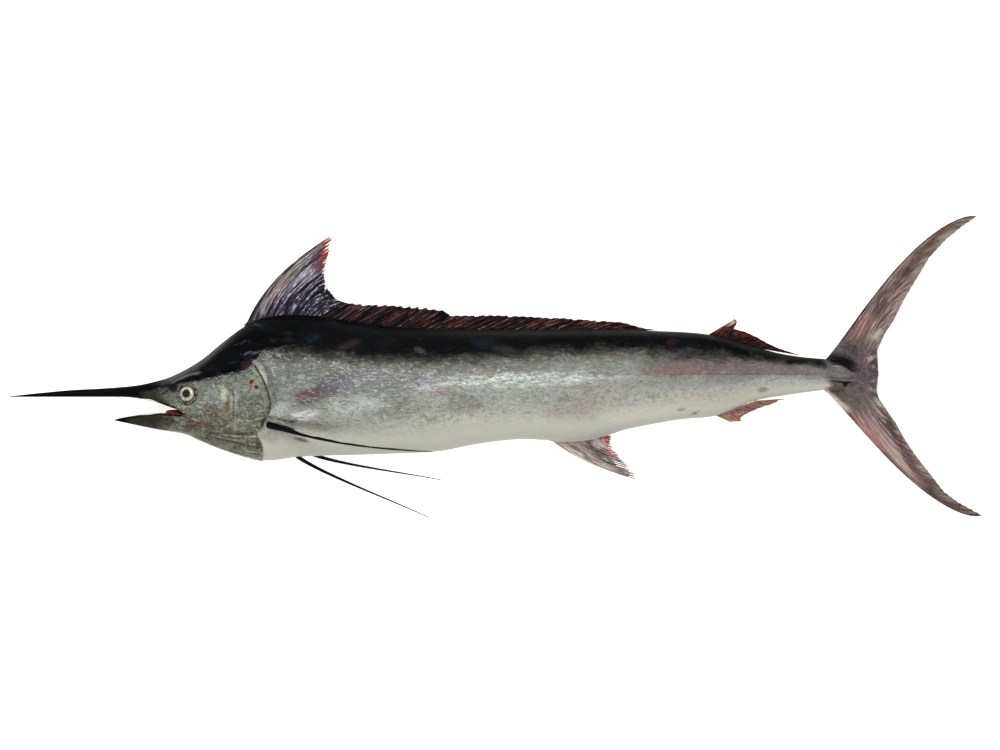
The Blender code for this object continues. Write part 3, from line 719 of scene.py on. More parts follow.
# %% The finished skin
marlin_mesh, used = hide.mesh("marlin_skin")
fish = np.concatenate(hide.places)[used]
inside = np.isin(used, np.concatenate((bill_numbers[:, UPPER_COLUMNS + 1:-UPPER_COLUMNS].ravel(),
                                       jaw_numbers[:, LOWER_COLUMNS + 1:-LOWER_COLUMNS].ravel(),
                                       np.arange(hide.count - len(rim) * 3 - 1, hide.count))))
turner = bmesh.new()
turner.from_mesh(marlin_mesh)
bmesh.ops.recalc_face_normals(turner, faces=turner.faces)
turner.to_mesh(marlin_mesh)
turner.free()
lift = np.where(inside, 0, relief(*fish.T))
fish = fish + vectors(marlin_mesh, "normal") * lift[:, None]
marlin_mesh.vertices.foreach_set("co", world(*fish.T).ravel())
marlin_mesh.update()
marlin_mesh.shade_smooth()


def mark(mesh, name, values):
    """Keep one number for each point, for finishes and for scattering."""
    mesh.attributes.new(name, "FLOAT", "POINT").data.foreach_set("value", np.asarray(values, float))


fish_x, fish_y, fish_z = fish.T
scaly = between(fish_x, 545, 575, 1690, 1735) * smooth(6, 14, np.abs(fish_z))
scaly *= smooth(2, 5, LIE(fish_x) + fish_z)
scaly *= 1 - smooth(1.3, 0.9, np.hypot((fish_x - 575) / 62, (fish_y + 108) / 26))
mark(marlin_mesh, "scaly", np.where(inside, 0, scaly))
mark(marlin_mesh, "lining", inside)
skin = in_scene("skin", marlin_mesh)
print("the skin has", len(marlin_mesh.polygons), "faces;", int(inside.sum()), "of its points line the mouth")

# %% [markdown]
# Wet marlin skin. The back is blue black, the flank silver grey, the belly cream, and the change from dark
# to silver is a sharp but ragged line. It could all be an image, but lines over the fish's side need none:
# one is the dark edge, one the belly, and between them greys are taken by height. Long thin noise gives the
# dashes of the scales, and soft patches give what is on this one fish: the bruise behind the gill, the yellow
# and brown of the cheek, the silver streaks. Painted light is laid in too: a sheen over the silver streaks of
# the upper flank, a highlight along the top edge of the head and the back, and shadow and a highlight by the
# tail's keels. The mesh carries those at its points, which keeps the finish light. Skin, gill covers and
# scales all call one function, so they match where they meet.

# %% Tones by height
DARK_EDGE = (
    (0, 8), (262, 10), (300, 15), (347.6, 28.8), (385.4, 34.4), (440, 43.9), (488, 53), (520, 80),
    (545, 99), (625, 90), (679, 82), (742, 79), (820, 75), (927, 77), (1007, 82), (1089, 88), (1169, 94),
    (1240, 96), (1332, 94), (1440, 87), (1546, 81), (1618, 72), (1706, 63), (1800, 56))
BELLY_LINE = [(x, float(BELLY(x)))
              for x in (217, 300, 400, 484, 545, 600, 660, 780, 900, 990, 1070, 1150, 1210, 1250, 1330,
                        1408, 1482, 1565, 1640, 1720, 1800)]
FLANK_TONES = (
    (0.0, (170, 170, 158)), (0.13, (180, 181, 168)), (0.24, (176, 177, 166)), (0.36, (166, 167, 157)),
    (0.5, (154, 157, 149)), (0.68, (142, 146, 140)), (0.8, (122, 126, 120)), (0.9, (100, 102, 96)),
    (0.97, (74, 73, 69)), (1.0, (52, 50, 48)))
HEAD_TONES = (
    (0.0, (124, 124, 110)), (0.1, (98, 96, 84)), (0.24, (90, 87, 74)), (0.4, (98, 97, 84)),
    (0.55, (114, 117, 105)), (0.7, (122, 128, 118)), (0.86, (122, 128, 119)), (0.95, (98, 101, 96)),
    (1.0, (50, 52, 54)))


def ramp(f, tones, share):
    """A ramp of screen tones on the finish f."""
    stops = [(place, tone(*colour)) for place, colour in tones]
    return f.add("ShaderNodeValToRGB", {"stops": stops}, {"Fac": share})


def carried(f, name):
    """A number that the mesh carries at its points."""
    return f.add("ShaderNodeAttribute", {"attribute_name": name}, output="Fac")


print(len(FLANK_TONES), "tones up the flank and", len(HEAD_TONES), "up the head")

# %% What lies over the flank and the head
# Each patch: tone, share, middle x and y, half length and height, turn in degrees
FLANK_PATCHES = (
    ((78, 74, 82), 0.95, 674, 24, 60, 18, 20), ((86, 76, 80), 0.85, 640, 0, 42, 14, 16),
    ((98, 60, 62), 0.85, 622, 6, 24, 8, 28), ((94, 80, 88), 0.8, 676, 14, 36, 8, 16),
    ((112, 108, 116), 0.6, 745, 26, 62, 22, 6), ((92, 92, 108), 0.65, 862, 36, 32, 10, -6),
    ((96, 98, 112), 0.5, 905, 46, 20, 5, 0), ((132, 108, 112), 0.5, 905, 12, 40, 9, 0),
    ((106, 56, 66), 0.6, 906, 10, 9, 3, 0), ((206, 204, 210), 0.5, 870, 18, 24, 6, -8),
    ((214, 219, 216), 0.9, 618, -39, 26, 9, 0), ((196, 204, 198), 0.6, 566, -30, 18, 14, 30),
    ((108, 104, 96), 0.6, 948, -14, 34, 22, 0), ((196, 202, 196), 0.6, 735, -22, 56, 20, 0),
    ((124, 120, 116), 0.5, 790, -32, 60, 12, 4), ((62, 54, 50), 0.75, 562, 84, 26, 12, 8),
    ((46, 54, 42), 0.6, 600, 82, 34, 8, 4), ((52, 44, 40), 0.9, 602, -50, 16, 6, -14),
    ((134, 122, 112), 0.7, 640, -60, 40, 8, -8), ((104, 60, 52), 0.8, 612, -91, 16, 4, -14),
    ((206, 188, 182), 0.85, 531, 50, 4.6, 24, 24), ((146, 138, 122), 0.6, 546, -82, 22, 14, -20),
    ((134, 116, 100), 0.5, 1000, 52, 40, 5, -10), ((90, 80, 66), 0.55, 1035, 62, 60, 2.6, -7),
    ((128, 90, 86), 0.55, 1405, 54, 74, 12, 0), ((112, 92, 92), 0.5, 1430, 64, 100, 14, 4),
    ((134, 124, 116), 0.5, 1180, -24, 60, 18, 10), ((164, 144, 128), 0.35, 1128, -32, 16, 8, 20),
    ((96, 98, 112), 0.5, 1165, -5, 26, 5, 4), ((166, 150, 142), 0.35, 1230, 0, 60, 26, 0),
    ((96, 92, 92), 0.8, 1408, -28, 9, 3, 10), ((74, 66, 62), 0.8, 1437, -32, 8, 3, 24),
    ((104, 90, 90), 0.6, 1560, 62, 130, 14, -5), ((182, 170, 152), 0.35, 1480, 2, 140, 18, 6),
    # The long pale patch at x 1090 is painted sheen over the upper flank's silver streaks
    ((198, 202, 198), 0.5, 1090, 34, 150, 13, 2), ((206, 194, 176), 0.25, 1330, -36, 90, 14, 8),
    ((120, 118, 110), 0.8, 1583, 13, 11, 5, 10),
)
HEAD_PATCHES = (
    ((96, 82, 62), 0.75, 424, -30, 22, 12, -14), ((190, 190, 160), 0.85, 451, 6, 6, 15, 14),
    ((112, 86, 58), 0.7, 458, -18, 6, 14, -8), ((176, 168, 134), 0.6, 468, -10, 4, 14, -6),
    ((86, 90, 86), 0.7, 506, -10, 20, 16, 0), ((104, 86, 66), 0.6, 497, -42, 18, 4, 0),
    ((134, 130, 98), 0.7, 517, 26, 10, 12, 0), ((112, 116, 100), 0.7, 296, 0, 26, 6, -20),
    ((52, 44, 36), 0.6, 330, -14, 28, 6, -30), ((88, 62, 42), 0.8, 378, -58, 20, 8, -8),
    ((96, 76, 56), 0.7, 404, -62, 18, 6, -10), ((140, 142, 126), 0.85, 330, -68, 44, 5, -14),
    ((134, 134, 122), 0.5, 480, -62, 22, 9, 0), ((84, 60, 50), 0.8, 522, -106, 8, 12, 0),
    ((42, 38, 32), 0.7, 304, -47, 46, 6, -8), ((98, 82, 66), 0.6, 476, -76, 14, 4, 0),
)
MARKS_AND_KEEL_SHADING = (
    ((12, 14, 16), 0.95, 345, 19, 13, 10, 30), ((10, 11, 13), 0.95, 374, 35, 36, 6, 17),
    ((88, 20, 28), 0.95, 510, 30.5, 5.6, 4.4, 40), ((84, 18, 26), 0.95, 521, 17.5, 5.4, 4.4, 0),
    # At the tail's keels, the thin near-black lines at x 1762 and 1750 and the spot at x 1757 are painted
    # shadow, and the pale line at x 1738 is a painted highlight on the upper keel
    ((8, 10, 16), 0.97, 1749, 75.5, 38, 13, -24), ((6, 6, 8), 0.9, 1762, 60, 16, 2.4, -20),
    ((6, 6, 8), 0.95, 1750, 30.5, 22, 2.4, 2), ((6, 6, 8), 0.95, 1757, 27, 5, 4, 0),
    ((190, 190, 186), 0.6, 1738, 63, 10, 1.0, -22), ((224, 222, 214), 0.85, 580, -57.5, 30, 1.5, -13),
    ((78, 72, 70), 0.9, 1742, 14, 22, 8, -6), ((40, 38, 42), 0.5, 1768, 100, 20, 6, -30),
)
BACK_PATCHES = (
    ((52, 32, 42), 0.95, 501, 66, 13, 9, 0), ((14, 18, 40), 0.9, 508, 85, 20, 5.5, 12),
    ((104, 98, 108), 0.7, 512, 93, 22, 1.6, 14), ((14, 26, 36), 0.8, 588, 131, 9, 5, 0),
    ((16, 28, 40), 0.8, 638, 122, 14, 9, 20), ((14, 26, 36), 0.7, 588, 119, 7, 4, 0),
    ((112, 96, 92), 0.8, 518, 152, 13, 1.6, -24), ((64, 66, 70), 0.7, 490, 113, 20, 1.2, 14),
    ((10, 16, 28), 0.7, 530, 148, 24, 8, -10), ((66, 68, 74), 0.7, 861, 96, 11, 6, -20),
    ((72, 62, 74), 0.6, 869, 92, 7, 6, 0), ((22, 34, 44), 0.5, 1000, 112, 28, 10, 0),
    ((60, 52, 56), 0.5, 1040, 98, 26, 8, 0), ((46, 26, 24), 0.7, 1394, 113, 14, 7, 0),
    ((70, 40, 38), 0.5, 1290, 96, 30, 5, 6), ((52, 40, 48), 0.6, 712, 108, 24, 8, 20),
    ((30, 46, 66), 0.6, 1690, 88, 20, 6, -6), ((60, 30, 24), 0.6, 1672, 88, 8, 3, 0),
)


# %% Patches on a mesh
def waved(x, y):
    """Places bent by a few slow waves, so that nothing laid by them has a clean rim."""
    return (x + 2.4 * np.sin(y / 9 + x / 31) + 1.1 * np.sin(y / 4.3 - x / 15),
            y + 2.0 * np.sin(x / 12 - y / 21) + 0.9 * np.sin(x / 5.1 + y / 8))


def carry_patches(mesh, name, x, y, patches):
    """Give a mesh's points the blend of the patches they lie in, and as its alpha how much they take."""
    x, y = waved(x, y)
    blend, cover = np.zeros((len(x), 3)), np.zeros(len(x))
    for colour, share, middle_x, middle_y, long, tall, turn in patches:
        angle = math.radians(turn)
        along = ((x - middle_x) * math.cos(angle) + (y - middle_y) * math.sin(angle)) / long
        over = ((y - middle_y) * math.cos(angle) - (x - middle_x) * math.sin(angle)) / tall
        share = share * smooth(1.45, 0.55, np.hypot(along, over))
        blend = blend * (1 - share[:, None]) + share[:, None] * np.array(tone(*colour)[:3])
        cover = cover * (1 - share) + share
    shown = np.column_stack((blend / np.maximum(cover, 1e-6)[:, None], cover))
    mesh.attributes.new(name, "FLOAT_COLOR", "POINT").data.foreach_set("color", shown.ravel())


def patched(f, ground, name, share):
    """Lay the patches that the mesh carries under a name over a ground, broken up by a share of 0 to 1."""
    blend, cover = [f.add("ShaderNodeAttribute", {"attribute_name": name}, output=part)
                    for part in ("Color", "Alpha")]
    return f.mix(ground, blend, cover * share)


print(len(FLANK_PATCHES) + len(HEAD_PATCHES) + len(BACK_PATCHES), "patches on flank, head and back")

# %% The skin's grain
class SkinFinish(Finish):
    """A finish with the noises and shares that all layers of the skin read."""

    def __init__(self, name, **constants):
        super().__init__(name, **constants)
        self.edge, belly = self.along(*DARK_EDGE), self.along(*BELLY_LINE)
        self.height = (self.y - belly) / (self.edge - belly)
        near, bent = self.bent(FINE_WAVER), self.bent(SLOW_WAVER)
        self.broad = self.noise(15, (0.6, 1, 1), 4, 0.6, self.wavy)
        self.blotch = self.noise(40, (0.65, 1.1, 1), 5, 0.65, self.wavy)
        self.mottle = self.noise(150, (0.7, 1.2, 1), 4, 0.7, near)
        self.worms = self.noise(85, (0.75, 1.3, 1), 2.5, 0.6, near)
        self.dashes = self.noise(70, (1, 4.6, 4.6), 4, 0.65, bent)
        self.long_dashes = self.noise(24, (1, 8, 8), 4, 0.65, bent)
        self.front = carried(self, "fore")
        self.behind = 1 - self.front
        self.above_belly = self.band(self.height, 0.1, 0.42)
        self.on_flank = self.above_belly * self.behind
        # Where the silver streaks are painted lighter and darker as a sheen: a band along the upper flank and
        # a spot behind the pectoral fin's root
        bright = self.spot(1080, 36, 190, 15, 2) + self.spot(620, -38, 34, 12)
        self.bright = bright.work("MINIMUM", bright, 1) * self.behind


# %% The layers of the flank
def flank_layers(f):
    """The greys of flank and head, with the flank's clouds, bruises, streaks and dashes, and a painted sheen
    on the upper flank's streaks.
    """
    broad, blotch, worms, dashes, height, behind = f.broad, f.blotch, f.worms, f.dashes, f.height, f.behind
    texture = (f.band(f.x, 1500, 700) * 0.6 + 0.25) * f.on_flank
    upper_rear = f.band(f.x, 1280, 1500) * f.band(height, 0.42, 0.6) * f.band(height, 1.0, 0.9)
    ground = f.layers(
        f.mix(ramp(f, FLANK_TONES, height + (broad - 0.5) * 0.2),
              ramp(f, HEAD_TONES, height + (blotch - 0.5) * 0.16), f.front),
        ((92, 97, 92), f.band(f.x, 960, 620) * f.band(height, 0.3, 0.6) * behind * 0.45),
        ((116, 106, 104), upper_rear * 0.6),
        ((92, 94, 86), f.band(broad, 0.54, 0.7) * f.above_belly * 0.5),
        ((176, 180, 174), f.band(broad, 0.46, 0.3) * f.on_flank * 0.4),
        ((200, 184, 166), f.band(blotch, 0.54, 0.7) * f.band(height, 0.5, 0.2) * behind * 0.35),
    )
    ground = patched(f, ground, "flank_patches", behind * (f.band(blotch, 0.26, 0.46) * 0.85 + 0.15))
    return f.layers(
        ground,
        ((108, 96, 102), f.band(blotch, 0.55, 0.68) * f.on_flank * 0.5),
        ((76, 81, 76), f.band(dashes, 0.52, 0.66) * texture * 0.7),
        ((204, 210, 205), f.band(dashes, 0.46, 0.32) * texture * 0.55),
        # Painted sheen: the long silver streaks, lighter and darker inside the sheen band
        ((222, 227, 224), f.band(f.long_dashes, 0.5, 0.6) * f.bright * 0.55),
        ((96, 94, 98), f.band(f.long_dashes, 0.47, 0.36) * f.bright * 0.5),
        ((86, 86, 78), f.hump(worms, 0.5, 0.04) * f.on_flank * 0.4),
        ((200, 204, 197), f.hump(worms, 0.585, 0.03) * texture * 0.5),
        ((88, 84, 78), f.band(f.mottle, 0.53, 0.66) * f.on_flank * 0.4),
        ((150, 148, 132), f.band(f.mottle, 0.54, 0.68) * f.band(height, 0.4, 0.1) * behind * 0.15),
        ((76, 70, 76),
         f.hump(f.y, 47.7, 3.4) * f.band(f.x, 1330, 1520) * f.band(dashes, 0.4, 0.56) * 0.6),
        ((96, 96, 100),
         f.hump(f.y, 46.5, 1.8) * f.band(f.x, 1200, 1260) * f.band(dashes, 0.4, 0.54) * 0.6),
    )


# %% The layers of the head
def head_layers(f, ground):
    """The head's patches and mottling, the dark of the jaws and the bill, and the lines."""
    blotch, mottle, worms, front = f.blotch, f.mottle, f.worms, f.front
    near_bill = f.x + (blotch - 0.5) * 30
    return f.layers(
        patched(f, ground, "head_patches", front * f.band(mottle, 0.26, 0.48)),
        ((50, 52, 44), f.band(mottle, 0.52, 0.64) * front * 0.55),
        ((172, 178, 166), f.band(mottle, 0.47, 0.33) * front * 0.55),
        ((50, 52, 44), f.hump(worms, 0.5, 0.045) * front * 0.45),
        ((182, 188, 176), f.hump(worms, 0.58, 0.035) * front * 0.4),
        ((66, 58, 46), f.band(blotch, 0.55, 0.67) * front * 0.45),
        ((40, 38, 31), f.band(near_bill, 366, 300) * front * 0.95),
        ((10, 8, 8), f.band(near_bill, 294, 262) * f.band(f.y, -30, -22)),
        ((7, 5, 5), f.band(f.x + (blotch - 0.5) * 14, 258, 236)),
        ((184, 186, 170), carried(f, "pale") * (f.band(mottle, 0.62, 0.42) * 0.7 + 0.15)),
        # Dark lines, among them a painted shadow along the gill cover's rear edge
        ((12, 11, 12), carried(f, "ink") * (f.band(mottle, 0.3, 0.46) * 0.4 + 0.6)),
        ((66, 46, 34), carried(f, "brown") * (f.band(mottle, 0.3, 0.5) * 0.7 + 0.3)),
    )


# %% The dark back
def back_layers(f, ground):
    """The back's smoky rim and its blue black over a ground, with a painted highlight along the top edge, and
    how dark each place is.
    """
    blotch, mottle, over = f.blotch, f.mottle, f.y - f.edge
    soft = f.band(f.x, 530, 610) * (f.band(f.x, 1660, 1470) * 0.7 + 0.3)
    ragged = f.noise(34, (0.6, 1.2, 1), 5, 0.68, f.wavy)
    above = over + (ragged - 0.5) * (soft * 26 + 26) + (mottle - 0.5) * (soft * 20 + 14)
    smoke = f.mix((66, 60, 58), (60, 68, 54), f.band(blotch, 0.45, 0.6))
    ground = f.mix(ground, smoke, f.band(above, soft * -24 - 6, soft * 4 + 2) * soft * 0.7)
    dark = f.band(above, soft * -10 - 4, soft * 15 + 3)
    back_tone = f.layers(
        (1, 2, 3),
        ((6, 11, 17), f.band(f.broad, 0.5, 0.66) * 0.8),
        ((18, 21, 21), f.band(blotch, 0.56, 0.7) * 0.5),
        ((48, 36, 33), f.band(blotch, 0.46, 0.32) * f.band(over, 34, 8) * 0.6),
        ((44, 50, 54), f.band(mottle, 0.58, 0.7) * f.behind * 0.22),
    )
    back_tone = f.layers(
        patched(f, back_tone, "back_patches", f.band(mottle, 0.3, 0.52)),
        # A painted highlight along the top edge of the head and the back
        ((84, 88, 80), carried(f, "rim") * (f.band(mottle, 0.7, 0.4) * 0.5 + 0.5)),
        ((140, 140, 132), carried(f, "pale") * 0.7),
    )
    return f.mix(ground, back_tone, dark), dark


# %% The tail's root, and the whole skin
# Where the root starts along the fish, and its middle's height
TAIL_ROOT = ((1706, 1726), 46)
ROOT_PATCHES = (
    ((92, 84, 82), 0.9, 1776, 108, 44, 30, 0), ((118, 114, 112), 0.9, 1748, 47, 29, 14, 0),
    ((112, 100, 86), 0.85, 1737, 16, 20, 9, -14), ((196, 184, 160), 0.95, 1712, 22, 18, 10, -16),
    ((198, 184, 166), 0.9, 1736, -10, 38, 8, -38), ((84, 74, 80), 0.7, 1806, 50, 24, 60, 0),
    ((104, 98, 92), 0.7, 1776, -2, 30, 18, -40),
)


def tail_root(f, blotch, mottle):
    """The slate and mauve of the tail's root, which skin and tail fin share, and where it lies."""
    far = (f.y - TAIL_ROOT[1]).size()
    where = f.band(f.x + (blotch - 0.5) * 26, *TAIL_ROOT[0]) * f.band(far, 92, 62)
    slate = f.layers(
        patched(f, (90, 84, 84), "root_patches", f.band(blotch, 0.2, 0.44)),
        ((52, 48, 52), f.band(mottle, 0.5, 0.64) * 0.6),
        ((140, 130, 124), f.band(mottle, 0.46, 0.34) * 0.45),
    )
    return slate, where


def marlin_colours(f):
    """Base colour, roughness, height and silver of the wet skin, on a skin finish."""
    ground, dark = back_layers(f, head_layers(f, flank_layers(f)))
    ground = f.mix(ground, *tail_root(f, f.blotch, f.mottle))
    ground = patched(f, ground, "dark_patches", 1)
    rough = f.band(f.x, 330, 262) * 0.2 + f.noise(420, (0.6, 1.3, 1), 2, 0.6) * 0.2 + 0.26
    silver = f.on_flank * (1 - dark) * 0.25 + f.bright * 0.2
    bump = f.dashes * f.behind * 0.6 + f.mottle * 0.7 + f.blotch * 0.7
    return ground, rough, bump, silver


# %% [markdown]
# Lines on the head. The plates of a marlin's head meet in thin lines: the gill cover's rear edge, with the
# flap's shadow painted behind it as a dark line, the pale rim of the cheek plate, the fold behind the mouth,
# the stripes of the throat. The skin's points are 2 mm apart there, so each point can carry how close it is
# to such a line, and the finish only has to mix a tone by that number. Lines that bend across the face are
# easier to place this way than with noise.

# %% Dark, pale and brown lines
# Each line: its points, then half breadth and strength
INK_AND_SHADE_LINES = (
    # This first line, along the gill cover's rear edge, is painted shadow of the flap
    (((511, 73), (520, 58), (531, 41), (540, 19), (546, 3), (549, -15), (547, -31), (540, -42)), 1.9, 0.95),
    (((539.1, -41), (532.7, -52.4), (531, -66)), 3.4, 0.9),
    (((467.4, 18.3), (471.6, -0.9), (470.6, -22.4), (469.5, -45.9), (464.1, -54.5), (454.5, -60.9),
      (445.9, -66.3)), 1.4, 0.55),
    (((357, -10.5), (372, -15.5), (387, -9)), 1.5, 0.7),
    ([(x, float(UPPER_LIP(x)) + 1.6) for x in range(236, 357, 8)], 2.8, 1.3),
    ([(x, float(LOWER_LIP(x)) - 3.2) for x in range(236, 373, 8)], 2.2, 1.3),
    (((356, -38.6), (371, -40.5), (386, -45)), 1.5, 0.8),
    (((366, -42), (384, -49), (402, -56)), 1.3, 0.6),
    (((415.9, -74.8), (437.3, -75.9), (467.4, -78), (495.2, -79.1), (518.8, -76.9)), 1.4, 0.7),
    (((545, -43), (572, -47), (600, -55)), 1.6, 0.9),
)
PALE_LINES = (
    (((338.8, 25.5), (353.8, 35), (373.1, 43.5), (390.2, 48.4), (400.9, 50.9)), 2.6, 0.65),
    (((473.8, 16.2), (476.4, -0.9), (475.3, -26.7), (473.8, -47.0)), 1.5, 0.6),
    (((473.8, -47.0), (490.9, -50.2), (510.2, -49.2), (527.4, -44.9), (540, -42)), 1.5, 0.85),
    (((437.3, -72.7), (467.4, -81.5), (488.8, -84.1), (522, -84.5)), 1.8, 0.8),
    (((443.8, -69.5), (458.8, -62.0), (467.4, -50.2)), 1.4, 0.7),
    (((510, 76), (522, 66), (534, 48), (541, 30)), 3.0, 0.85),
    (((531.6, 16.2), (539.1, -9.5), (538.1, -30.9)), 1.3, 0.35),
    (((415.9, -79.2), (445.9, -85.6), (478.1, -90.9), (516.6, -90.5)), 1.4, 0.6),
    (((424.5, -92.0), (456.6, -104.9), (488.8, -113.4), (527.4, -117.7)), 1.8, 0.55),
    (((445.9, -111.4), (478.1, -122.1), (510.2, -129)), 1.8, 0.5),
    (((366.6, -38.4), (381.6, -44.9), (398.8, -51.3)), 1.4, 0.6),
    (((540.2, -44.9), (531.6, -63.1), (516.6, -75.9)), 1.6, 0.7),
    (((338.8, -25.8), (360.2, -20.2), (372.8, -18.1)), 2.4, 0.6),
    (((545, -38), (575, -44), (606, -50)), 1.8, 0.9),
)
BROWN_LINES = (
    (((400.9, -77.7), (422.3, -82.4), (445.9, -89.9), (467.4, -95.2), (499.5, -101.7),
      (527.4, -108.1)), 2.2, 0.8),
    (((407.3, -84.5), (435.2, -97.4), (467.4, -108.1), (499.5, -116.7), (529.5, -123.1)), 2.0, 0.7),
    (((390.2, -80.2), (415.9, -95.2), (445.9, -108.1), (478.1, -118.8), (510.2, -127.4)), 1.8, 0.55),
    (((478, -85.5), (500, -87), (528, -92)), 1.8, 0.55),
    (((412, -76), (440, -82), (470, -87), (505, -91)), 1.6, 0.6),
    ([(x, float(LOWER_LIP(x)) - 0.6) for x in range(244, 340, 8)], 1.4, 1.2),
)

# %% Marks on a mesh
GILL_EDGE = curve(
    (-140, 531), (-109, 533), (-86, 525), (-80, 521), (-66, 528), (-45, 541), (-17, 549), (19, 542),
    (41, 533), (72, 514), (84, 530), (100, 542))
# Strength and depth of the painted highlight along the head's top edge, and of the one along the back behind
# it
HEAD_TOP_SHEEN, BACK_TOP_SHEEN = (0.75, 20), (0.16, 15)


def carry_marks(mesh, x, y, open_skin=1.0):
    """Give a mesh's points their patches, and how near they are to each line, the head and the top edge's
    painted highlight.
    """
    for name, patches in (("flank_patches", FLANK_PATCHES), ("head_patches", HEAD_PATCHES),
                          ("back_patches", BACK_PATCHES), ("root_patches", ROOT_PATCHES),
                          ("dark_patches", MARKS_AND_KEEL_SHADING)):
        carry_patches(mesh, name, x, y, patches)
    for name, lines in (("ink", INK_AND_SHADE_LINES), ("pale", PALE_LINES), ("brown", BROWN_LINES)):
        total = np.zeros(len(x))
        for line, breadth, strength in lines:
            away, share = to_line(x, y, line)
            ends = between(share, 0, 0.1, 0.9, 1) * 0.7 + 0.3
            total = np.maximum(total, strength * ends * bell(away, breadth))
        mark(mesh, name, total * open_skin)
    # The rim is a painted highlight along the top edge of the head and the back
    depth = BACK(x) - y
    head_top_sheen = HEAD_TOP_SHEEN[0] * smooth(HEAD_TOP_SHEEN[1], 3, depth) * between(x, 300, 345, 420, 490)
    back_top_sheen = BACK_TOP_SHEEN[0] * smooth(BACK_TOP_SHEEN[1], 2, depth) * smooth(700, 1100, x)
    mark(mesh, "rim", np.maximum(head_top_sheen, back_top_sheen) * open_skin)
    mark(mesh, "fore", smooth(2, -2, x - GILL_EDGE(y)))


# %% The skin's finish
SKIN_DEPTH = 0.0011
skin_finish = SkinFinish("wet_marlin_skin", coat_weight=0.03, coat_roughness=0.22)
lining = carried(skin_finish, "lining")
colour, rough, bump, silver = marlin_colours(skin_finish)
red_flesh = skin_finish.layers(
    (14, 10, 10),
    ((160, 36, 28), skin_finish.band(skin_finish.x, 280, 292)),
    ((50, 16, 14), skin_finish.band(skin_finish.x, 320, 344)),
    ((40, 16, 14), skin_finish.noise(120, detail=3) * 0.5),
)
skin_finish.paint(skin_finish.mix(colour, red_flesh, lining), rough, bump, SKIN_DEPTH, metallic=silver)
carry_marks(marlin_mesh, fish_x, fish_y, 1.0 - inside)
marlin_mesh.materials.append(skin_finish.material)
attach(skin, "root")
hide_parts("bill", "lower_jaw", "head", "trunk", "hind_body", "tail_stock", "tail_keel_upper_left",
            "tail_keel_upper_right", "tail_keel_lower_left", "tail_keel_lower_right")
print(len(skin_finish.nodes), "nodes in the skin's finish")

# %% [markdown]
# Gill covers. On a living fish these plates lift to let water out. On this one they lie shut, and the rear
# margin is a thin flap of skin that stands a few millimetres off the shoulder. Each is a curved plate with
# its front edge sunk under the skin, so that no join shows, and a fold along it where two bones meet.

# %% A place on the flank and its outward direction
def flank_place(x, y, side=1):
    """Fish measures of a place on the flank, and the direction straight out of the skin there."""
    z = flank(x, y)
    slope_x, slope_y = (flank(x + 1, y) - z), (flank(x, y + 1) - z)
    out = np.stack((-slope_x, -slope_y, np.ones_like(z)), -1)
    out /= np.linalg.norm(out, axis=-1, keepdims=True)
    return np.stack((x, y, z * side), -1), out * (1, 1, side)


def finish_mesh(cloth, name, material):
    """A closed piece from a cloth in world places, with its faces outwards, in the scene."""
    made, kept = cloth.mesh(name)
    made.calc_loop_triangles()
    corners = vectors(made)[np.array([triangle.vertices[:] for triangle in made.loop_triangles])]
    if (corners[:, 0] * np.cross(corners[:, 1], corners[:, 2])).sum() < 0:
        made.flip_normals()
    made.materials.append(material)
    made.shade_smooth()
    return in_scene(name, made), kept


def plate(cloth, front, back):
    """Join two like grids of places, back to back, into one closed plate."""
    front_numbers, back_numbers = cloth.numbers(front), cloth.numbers(back)
    cloth.join(front_numbers, (0.0, 0.48), (0.0, 1.0), closed=False)
    cloth.join(back_numbers[:, ::-1], (0.5, 0.98), (0.0, 1.0), closed=False)
    rims = [np.concatenate((n[0], n[1:, -1], n[-1, -2::-1], n[-2:0:-1, 0]))
            for n in (back_numbers, front_numbers)]
    cloth.join(np.stack(rims), (0.985, 0.995), (0.0, 1.0))
    return front_numbers, back_numbers


# %% The gill covers
COVER_TOP, COVER_FOOT = 78.0, -82.0
COVER_RISE, COVER_SUNK, COVER_THICK = 3.4, 1.6, 2.2
COVER_GRID = (64, 110)
SEAM_LINE = ((470, -50), (505, -48.3), (543, -41))
SEAM_RISE, SEAM_BREADTH = 1.1, 3
# Heights of the long and the short waves along the flap's edge, and of those over its face
COVER_WAVES = (1.1, 0.7, 0.5)

cover_finish = SkinFinish("gill_cover_skin", coat_weight=0.03, coat_roughness=0.2)
cover_finish.paint(*marlin_colours(cover_finish)[:3], SKIN_DEPTH)
across, up = np.meshgrid(np.linspace(0, 1, COVER_GRID[0]), np.linspace(0, 1, COVER_GRID[1]), indexing="ij")
cover_y = COVER_FOOT + (COVER_TOP - COVER_FOOT) * up
rear = COVER_REAR(cover_y) + COVER_WAVES[0] * np.sin(up * 23) + COVER_WAVES[1] * np.sin(up * 51 + 1)
cover_x = COVER_FRONT(cover_y) + (rear - COVER_FRONT(cover_y)) * across
ends = between(up, 0, 0.07, 0.93, 1)
rise = -COVER_SUNK + (COVER_RISE + COVER_SUNK) * smooth(0, 0.3, across) * ends
away, _ = to_line(cover_x, cover_y, SEAM_LINE)
rise += SEAM_RISE * bell(away, SEAM_BREADTH) * smooth(0.1, 0.3, across)
rise += COVER_WAVES[2] * np.sin(across * 9 + up * 7) * ends
